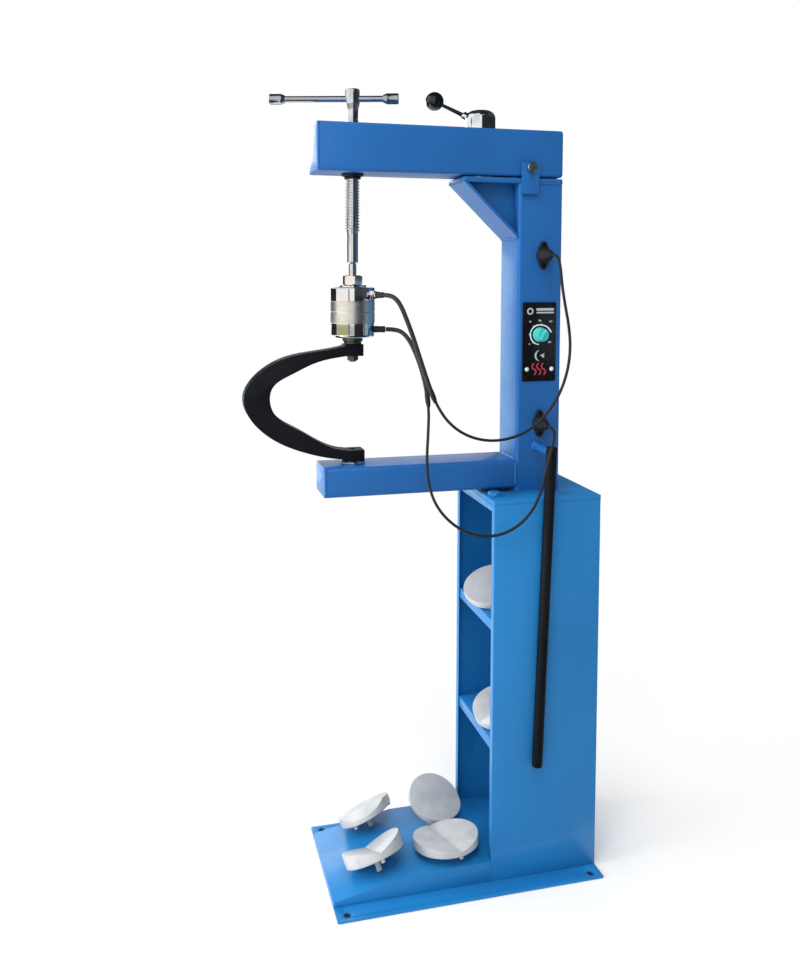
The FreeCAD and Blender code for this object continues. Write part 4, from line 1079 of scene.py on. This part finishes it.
def band(inner, outer, start, end, centre=(0, 0), grow=1.0):
    """A flat ring band between two angles; its last quarter may run outwards."""
    bm = bmesh.new()
    first = bm.verts.new((inner * MM, 0, 0))
    last = bm.verts.new((outer * MM, 0, 0))
    edge = bm.edges.new((first, last))
    steps = max(4, round(abs(end - start) / 6))
    bmesh.ops.spin(bm, geom=[first, last, edge], cent=(0, 0, 0), axis=UP,
                   angle=math.radians(end - start), steps=steps)
    for vert in bm.verts:
        share = math.atan2(vert.co.y, vert.co.x) / math.radians(end - start) % (
            math.tau / abs(math.radians(end - start)))
        if grow != 1.0 and share > 0.75:
            vert.co *= 1 + (grow - 1) * (share - 0.75) / 0.25
    turn = Matrix.Rotation(math.radians(start), 4, "Z")
    place = Matrix.Translation(Vector((*centre, 0)) * MM) @ turn
    bmesh.ops.transform(bm, matrix=place, verts=bm.verts)
    return ink(bm)


def stroke(start, end, width):
    """A straight printed line between two points."""
    start, end = Vector((*start, 0)), Vector((*end, 0))
    run = end - start
    bm = bmesh.new()
    bmesh.ops.create_grid(bm, x_segments=1, y_segments=1, size=0.5)
    bmesh.ops.scale(bm, vec=(run.length * MM, width * MM, 1), verts=bm.verts)
    turn = Matrix.Rotation(math.atan2(run.y, run.x), 4, "Z")
    bmesh.ops.transform(bm, matrix=Matrix.Translation((start + end) / 2 * MM) @ turn, verts=bm.verts)
    return ink(bm)


def figure(text, x, y, size=4.2):
    """Plain numbers, made a mesh before they are placed."""
    curve = bpy.data.curves.new("figure", "FONT")
    curve.body = text
    curve.size = size * MM
    curve.align_x = "CENTER"
    curve.align_y = "CENTER"
    curve.extrude = INK * MM / 2
    curve.resolution_u = 3
    bm = shape_of(curve)
    bmesh.ops.translate(bm, vec=(x * MM, y * MM, INK * MM / 2), verts=bm.verts)
    return bm


SCALE_RADIUS = 17.0
SCALE_START = -92
SCALE_SWEEP = -258
marks = [band(SCALE_RADIUS - 1.1, SCALE_RADIUS + 1.0, SCALE_START, SCALE_START + SCALE_SWEEP, grow=1.3)]
for i in range(5):
    angle = math.radians(SCALE_START - 40 - i * 50)
    way = Vector((math.cos(angle), math.sin(angle)))
    marks.append(stroke(way * (SCALE_RADIUS + 0.8), way * (SCALE_RADIUS + 3), 0.9))
NUMBERS = (("50", -17.5, 22.5), ("100", 0, 24.2), ("150", 20.5, 22.5), ("0", -18.5, -16.5),
           ("200", 19, -13.5))
marks += [figure(*number) for number in NUMBERS]
settle(on_panel(together(*marks)), "dial_scale", "stand", WHITE_INK, "panel_face", crease=60)

# %% [markdown]
# A grey crescent and a triangle stand below the dial, and three red waves between the lamps
# are the usual sign for heat. At the top are two plain grey rules and a ring. All of them
# are printed, as the scale is.

# %% Printed signs
def crescent(inner, outer, start, end, centre):
    """A printed band whose inner edge runs out to the outer one at both ends."""
    bm = band(inner, outer, start, end)
    middle = math.radians((start + end) / 2)
    half = math.radians(end - start) / 2
    for vert in bm.verts:
        reach = math.hypot(vert.co.x, vert.co.y)
        if reach < (inner + outer) / 2 * MM:
            off = math.remainder(math.atan2(vert.co.y, vert.co.x) - middle, math.tau) / half
            wanted = (outer - 0.3 - (outer - inner - 0.3) * math.cos(off * math.pi / 2)) * MM
            vert.co.x *= wanted / reach
            vert.co.y *= wanted / reach
    bmesh.ops.translate(bm, vec=(centre[0] * MM, centre[1] * MM, 0), verts=bm.verts)
    return bm


triangle = bmesh.new()
bmesh.ops.create_circle(triangle, cap_ends=True, segments=3, radius=5.2 * MM)
bmesh.ops.transform(triangle, matrix=Matrix.Translation(Vector((6.6, -36.4, 0)) * MM)
                    @ Matrix.Rotation(math.radians(205), 4, "Z"), verts=triangle.verts)
signs = [crescent(6.0, 9.4, 92, 268, (0.8, -36.5)), ink(triangle),
         stroke((-6, 43.8), (26.5, 43.8), 4.2), stroke((-6, 38.2), (26.5, 38.2), 2.6),
         band(3.4, 6.0, 0, 360, (-17.6, 40.6))]
settle(on_panel(together(*signs)), "panel_signs", "stand", GREY_INK, "panel_face", crease=60)

waves = [band(4.1, 6.5, start, start + 140, (x + side * 1.8, side * 4.8 - 60))
         for x in (-9.4, -0.6, 8.2) for side, start in ((1, 110), (-1, -70))]
settle(on_panel(together(*waves)), "heat_sign", "stand", RED_INK, "panel_face", crease=60)

# %% [markdown]
# The knob is moulded in teal plastic: a skirt, a slightly tapered body with a soft rim, a
# shallow dish on its face and a grip bar across it, with one white line as its pointer. It
# turns with the thermostat's shaft, so it rides on a body of its own.

# %% Dial knob
GRIP_TOP = 18.4
GRIP_TURN = 62
spot = Vector((knob_x, DIAL.y, DIAL.z))
body = ([(3.05, 0), (12.5, 0), (12.8, 0.3), (12.8, 2.6), (12.5, 3.2), (11.9, 4.8), (11.2, 13.2)]
        + arc((9.4, 13.6), 1.8, 0, 90, 5) + [(8.2, 15.3), (5, 14.9), (0, 14.8)])
grip = block((-9.8, -2.6, 10), (9.8, 2.6, GRIP_TOP))
soften(grip, [e for e in grip.edges if abs(e.verts[0].co.z - e.verts[1].co.z) > MM], 2.2, 5)
soften(grip, [e for e in grip.edges if all(v.co.z > (GRIP_TOP - 0.5) * MM for v in e.verts)], 1.3, 4)
settle(together(turned(body, spot, OUT, 72), on_panel(grip, spot, GRIP_TURN)), "teal_knob", "knob", TEAL,
       "knob_teal", "dial_knob")
pointer = on_panel(block((5, -0.4, GRIP_TOP - 0.05), (8.6, 0.4, GRIP_TOP + 0.08)), spot, GRIP_TURN)
settle(pointer, "knob_pointer", "knob", WHITE_INK, "panel_face")

# %% [markdown]
# Each pilot lamp is a domed lens in a thin bright bezel. The lens is spun from an arc, so it
# catches a small highlight as the real one does.

# %% Pilot lamps
BEZEL = 4.8
lamp_low, lamp_high = extent("pilot_lamps")
lamp_z = middle("pilot_lamps").z
lens_profile = [(0, -14), (3.9, -14), (3.9, 0), (4.0, 0.6)] + arc((0, -1.4), 4.4, 30, 90, 8)
bezel_profile = [(4.1, 0), (BEZEL, 0), (BEZEL, 0.5), (4.4, 1.1), (4.1, 1.1), (4.1, 0)]
spots = [(panel_high.x, y, lamp_z) for y in (lamp_low.y + BEZEL, lamp_high.y - BEZEL)]
settle(together(*[turned(bezel_profile, spot, OUT, 32) for spot in spots]), "lamp_bezels", "stand", BLACKED,
       "lamp_lens")
settle(turned(lens_profile, spots[0], OUT, 32), "power_lens", "stand", GREEN_LENS, "lamp_lens",
       "pilot_lamps")
settle(turned(lens_profile, spots[1], OUT, 32), "heat_lens", "stand", ROSE_LENS, "lamp_lens")

# %% [markdown]
# A cord plugs into a drawn-out black flange with a screw at each end. The flange is a round
# disc bridged to two small ones, made here from the CAD copy with its rim rounded. The plug
# is a turned body with grip rings and a ribbed boot that thins towards the cord.

# %% Sockets and plugs
settle(copy_of("sockets", 1.0, 40, 3), "socket_flanges", "stand", PLASTIC, "black_plastic", "sockets")
PLUG_FACE = col_high.x + 5
PLUG_END = 78.0
SCREW_REACH = 18.5


def plug_profile():
    """Body with two grip rings, then a boot of shrinking ribs."""
    points = [(0, 0), (12, 0), (12, 2)]
    for z in (3.0, 5.0, 7.0):
        points += [(12, z), (11.3, z + 0.5), (11.3, z + 1.1), (12, z + 1.6)]
    points += [(11.8, 10), (10.6, 13.4)]
    long = PLUG_END - PLUG_FACE
    z = 14.0
    while z < long - 3:
        r = 10.2 - (z - 14.0) / (long - 14.0) * 5.8
        points += [(r, z), (r, z + 1.3), (r - 0.8, z + 1.8), (r - 0.8, z + 2.4)]
        z += 2.8
    return points + [(4.1, long - 0.8), (3.7, long), (0, long)]


screws = []
for name, node in (("upper_cord_plug", "upper_plug"), ("lower_cord_plug", "lower_plug")):
    y, z = middle(node).yz
    settle(turned(plug_profile(), (PLUG_FACE, y, z), OUT, 48), name, "stand", PLASTIC, "black_plastic", node)
    screws += [turned([(0, 0), (3, 0), (3, 0.4), (2.2, 1.1), (0, 1.3)], (PLUG_FACE, y, z + reach), OUT, 24)
               for reach in (-SCREW_REACH, SCREW_REACH)]
settle(together(*screws), "socket_screws", "stand", BLACKED, "bright_steel")

# %% [markdown]
# The long black bar hangs by its eye from a stepped pin on the column. It is a plain round
# bar with chamfered ends, so the CAD copy keeps the drilled eye. The pin is painted with the
# column up to its shoulder, and the end in the bar's eye is a dark piece of its own.

# %% Loose bar and its pin
settle(copy_of("lever_bar", 0.5, 40, 2), "hanging_bar", "loose_bar", BAR_ENAMEL, "black_paint",
       "lever_bar")
pin_low, pin_high = extent("bar_pin")
pin_start = (pin_low.x, *middle("bar_pin").yz)
pin_long = pin_high.x - pin_low.x
shoulder = extent("lever_bar")[0].x - 1.5 - pin_low.x
pin = [(0, 0), (9, 0), (9, 1.2), (7, 3), (7, shoulder - 0.8), (6.2, shoulder), (5, shoulder),
       (5, shoulder + 1), (0, shoulder + 1)]
tip = [(0, shoulder + 0.8), (4.95, shoulder + 0.8), (4.95, pin_long - 0.8), (4.2, pin_long), (0, pin_long)]
settle(turned(pin, pin_start, OUT, 40), "bar_hook", "stand", FRAME_BLUE, "blue_paint", "bar_pin")
settle(turned(tip, pin_start, OUT, 40), "bar_hook_tip", "stand", BAR_ENAMEL, "black_paint")

# %% [markdown]
# The six contour moulds are castings. Their CAD shapes have the true hollows and ridges, so
# copies are used with every edge rounded as a casting's are. Each keeps the stud that screws
# into the bow and the three feet that it stands on.

# %% Contour moulds
for kind in ("ridge", "valley", "bead", "wide", "saddle", "step"):
    node = "mould_" + kind
    settle(copy_of(node, 1.1, 24, 3), "cast_" + kind, kind + "_mould", CAST, "cast_aluminium", node)

# %% [markdown]
# A few CAD pieces are seen little or not at all, and their plain shapes are right: the thrust
# washer, the spacer in the arm, the pad under the screw, the heating block and the
# thermostat. They only get a finish.

# %% Finishes of the CAD pieces that stay
STAYS = {"thrust_washer": STEEL, "pivot_sleeve": STEEL, "thrust_bearing": SHADE_DARKENED_BRONZE,
         "heater_element": TURNED, "thermostat": PLASTIC}
for node, material in STAYS.items():
    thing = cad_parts[node]
    thing.data.materials.clear()
    thing.data.materials.append(material)
shown = [n for n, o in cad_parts.items() if not o.hide_render]
print("CAD pieces that still show:", sorted(shown))

# %% [markdown]
# The floor is plain and pale. Seen directly it turns to pure white away from the machine, so
# it meets the white world without an edge, and near the machine it keeps a soft shadow. The
# fade is a distance from the middle, read from the floor's own coordinates. The ground that
# the base covers is painted dark as shade, and the anchor holes show that painted shade.

# %% Floor
PALE = (0.82, 0.82, 0.82)
UNDER_BASE_PAINTED_SHADE = (0.03, 0.035, 0.045)


def white_floor():
    bm = bmesh.new()
    bmesh.ops.create_grid(bm, x_segments=1, y_segments=1, size=15.0)
    finish = Finish("floor_white", PALE, Roughness=0.9, Specular_IOR_Level=0.0)
    spot = finish.spot()
    away = finish.node("ShaderNodeVectorMath", {"operation": "LENGTH"}, {0: spot}, out="Value")
    # Painted shade: the floor under the base plate is coloured dark for the shadow it lies in.
    under_base_shade_masks = [finish.math("LESS_THAN", finish.math("ABSOLUTE", finish.axis(spot, letter)), half)
              for letter, half in (("X", 0.126), ("Y", 0.231))]
    finish.feed("Base Color", finish.mix(under_base_shade_masks[0] * under_base_shade_masks[1], PALE, UNDER_BASE_PAINTED_SHADE))
    fade = finish.ramp(away * 0.5, [(0.15, 0.0), (0.3, 0.8), (0.6, 1.0)])
    glow = finish.node("ShaderNodeEmission", {}, {"Color": (1, 1, 1, 1), "Strength": 1.0})
    matt = Value(finish, finish.shader.outputs[0])
    surface = finish.node("ShaderNodeMixShader", {}, {0: fade * finish.ray("Camera"), 1: matt, 2: glow})
    finish.put(finish.tree.nodes["Material Output"], "Surface", surface)
    object_of(bm, "floor", finish.material)


white_floor()
print("floor ready")

# %% [markdown]
# The world is plain white for the camera and for reflections, and dimmer as a light. Four
# large soft lamps light only the matt part of each finish: a key on the camera's left, one
# for the front faces, one above and a weak one behind. Two more stand far behind on the left
# and are mirrored. The front faces are seen at a low angle, and these two put the pale sheen
# on them, a cool one on column and lower arm and a warm one on the upper arm.

# %% World and lamps
def set_world(ambient):
    world = bpy.data.worlds.new("studio")
    scene.world = world
    world.use_nodes = True
    sky = Nodes(world.node_tree)
    seen = sky.math("MAXIMUM", sky.ray("Camera"), sky.ray("Glossy"))
    seen = sky.math("MAXIMUM", seen, sky.ray("Transmission"))
    back = world.node_tree.nodes["Background"]
    sky.put(back, "Color", (1, 1, 1, 1))
    sky.put(back, "Strength", sky.node("ShaderNodeMapRange", {}, {"To Min": ambient, "Value": seen}))


def softbox(name, place, aim, wide, high, power, colour=(1, 1, 1), mirrored=True):
    """A rectangular lamp. One that isn't mirrored lights the matt part of a finish only."""
    light = bpy.data.lights.new(name, "AREA")
    light.shape = "RECTANGLE"
    light.size = wide
    light.size_y = high
    light.energy = power
    light.color = colour
    thing = bpy.data.objects.new(name, light)
    thing.location = place
    thing.rotation_euler = (Vector(aim) - Vector(place)).to_track_quat("-Z", "Y").to_euler()
    thing.visible_camera = False
    thing.visible_glossy = mirrored
    scene.collection.objects.link(thing)


set_world(0.6)
softbox("key_softbox", (2.4, -2.6, 1.7), (0, 0, 0.6), 1.4, 1.8, 18, mirrored=False)
softbox("front_softbox", (0.2, -3.2, 1.4), (0, 0, 0.5), 1.8, 2.0, 110, mirrored=False)
softbox("top_softbox", (1.5, -0.7, 3.3), (0, 0, 0.5), 1.6, 1.6, 52, mirrored=False)
softbox("edge_softbox", (-2.9, -0.8, 0.5), (0, -0.2, 0.7), 1.0, 1.8, 12, (0.58, 0.89, 0.95))
softbox("arm_softbox", (-2.6, -0.75, 1.7), (0, -0.25, 1.3), 1.1, 0.75, 12, (1.0, 0.97, 0.88))
softbox("back_softbox", (-0.5, 3.2, 1.8), (0, 0, 0.7), 1.4, 1.8, 22, mirrored=False)
print("lamps ready")

# %% [markdown]
# Chrome and gloss paint look dark or tinted only where they mirror something that is. So
# cards stand round the machine, about 0.8 m or more from the screw's line, one hangs above
# and one lies beside it: black ones, grey and tinted ones, and three that glow. Only
# reflections see them, so they neither shade nor light the matt part of a finish.

# %% Cards
def stage_card(name, bm, colour=(0.01, 0.012, 0.014), glow=0.0):
    """A card, black, tinted or glowing, that only reflections see."""
    finish = Finish(name, (0, 0, 0) if glow else colour, Roughness=0.9, Emission_Strength=glow)
    finish.feed("Emission Color", (*colour, 1))
    card = object_of(bm, name, finish.material)
    for ray in ("camera", "diffuse", "shadow", "transmission"):
        setattr(card, "visible_" + ray, False)


def bent_card(name, distance, start, end, low, high, y=SCREW_Y, **tint):
    """An upright card in metres, bent round an upright axis between two angles in degrees."""
    bm = bmesh.new()
    first = bm.verts.new((distance, 0, low))
    last = bm.verts.new((distance, 0, high))
    edge = bm.edges.new((first, last))
    bmesh.ops.rotate(bm, cent=(0, 0, 0), matrix=Matrix.Rotation(math.radians(start), 3, "Z"),
                     verts=bm.verts)
    bmesh.ops.spin(bm, geom=[first, last, edge], cent=(0, 0, 0), axis=UP,
                   angle=math.radians(end - start), steps=24)
    bmesh.ops.translate(bm, vec=(0, y * MM, 0), verts=bm.verts)
    stage_card(name, bm, **tint)


def flat_card(name, low, high, level):
    """A level card between two corners in metres."""
    bm = bmesh.new()
    bmesh.ops.create_grid(bm, x_segments=1, y_segments=1, size=0.5)
    bmesh.ops.scale(bm, vec=(high[0] - low[0], high[1] - low[1], 1), verts=bm.verts)
    bmesh.ops.translate(bm, vec=((low[0] + high[0]) / 2, (low[1] + high[1]) / 2, level), verts=bm.verts)
    stage_card(name, bm)


bent_card("right_card", 2.6, -3, 152, 0.0, 3.2)
bent_card("stripe_card", 0.8, 46, 76, 0.76, 1.03, colour=(0.17, 0.23, 0.28))
bent_card("cool_card", 0.8, 76, 138, 0.76, 1.03, colour=(0.035, 0.06, 0.085))
bent_card("left_card", 0.8, -171, -104, 0.84, 1.16)
bent_card("cream_card", 0.8, -100, -34, 0.92, 1.045, colour=(1.0, 0.91, 0.77), glow=1.1)
bent_card("olive_card", 0.8, -100, -34, 0.78, 0.92, colour=(0.43, 0.42, 0.21), glow=1.0)
bent_card("line_card", 0.78, -33, -28, 0.78, 1.16)
bent_card("screw_left_card", 0.8, -192, -62, 1.1435, 1.291, colour=(0.26, 0.27, 0.28))
bent_card("screw_right_card", 0.8, 0, 150, 1.032, 1.36, colour=(0.035, 0.037, 0.040))
bent_card("bar_card", 0.8, 60, 214, 1.502, 1.9, colour=(0.02, 0.025, 0.035))
bent_card("bar_light_card", 0.8, -70, -8, 1.487, 2.9, colour=(0.75, 0.78, 0.82), glow=1.0)
bent_card("hub_card", 0.8, -204, -154, 1.502, 1.63, y=PIVOT_Y)
flat_card("ceiling_card", (-3.2, -1.6), (2.4, 2.4), 3.3)
flat_card("floor_card", (0.14, -1.2), (2.6, 2.6), 0.002)
print("cards ready")

# %% [markdown]
# A box of corners is turned into lists of plain numbers.

# %% Sizes as plain numbers
def plain(box):
    return [[float(v) for v in corner] for corner in box]
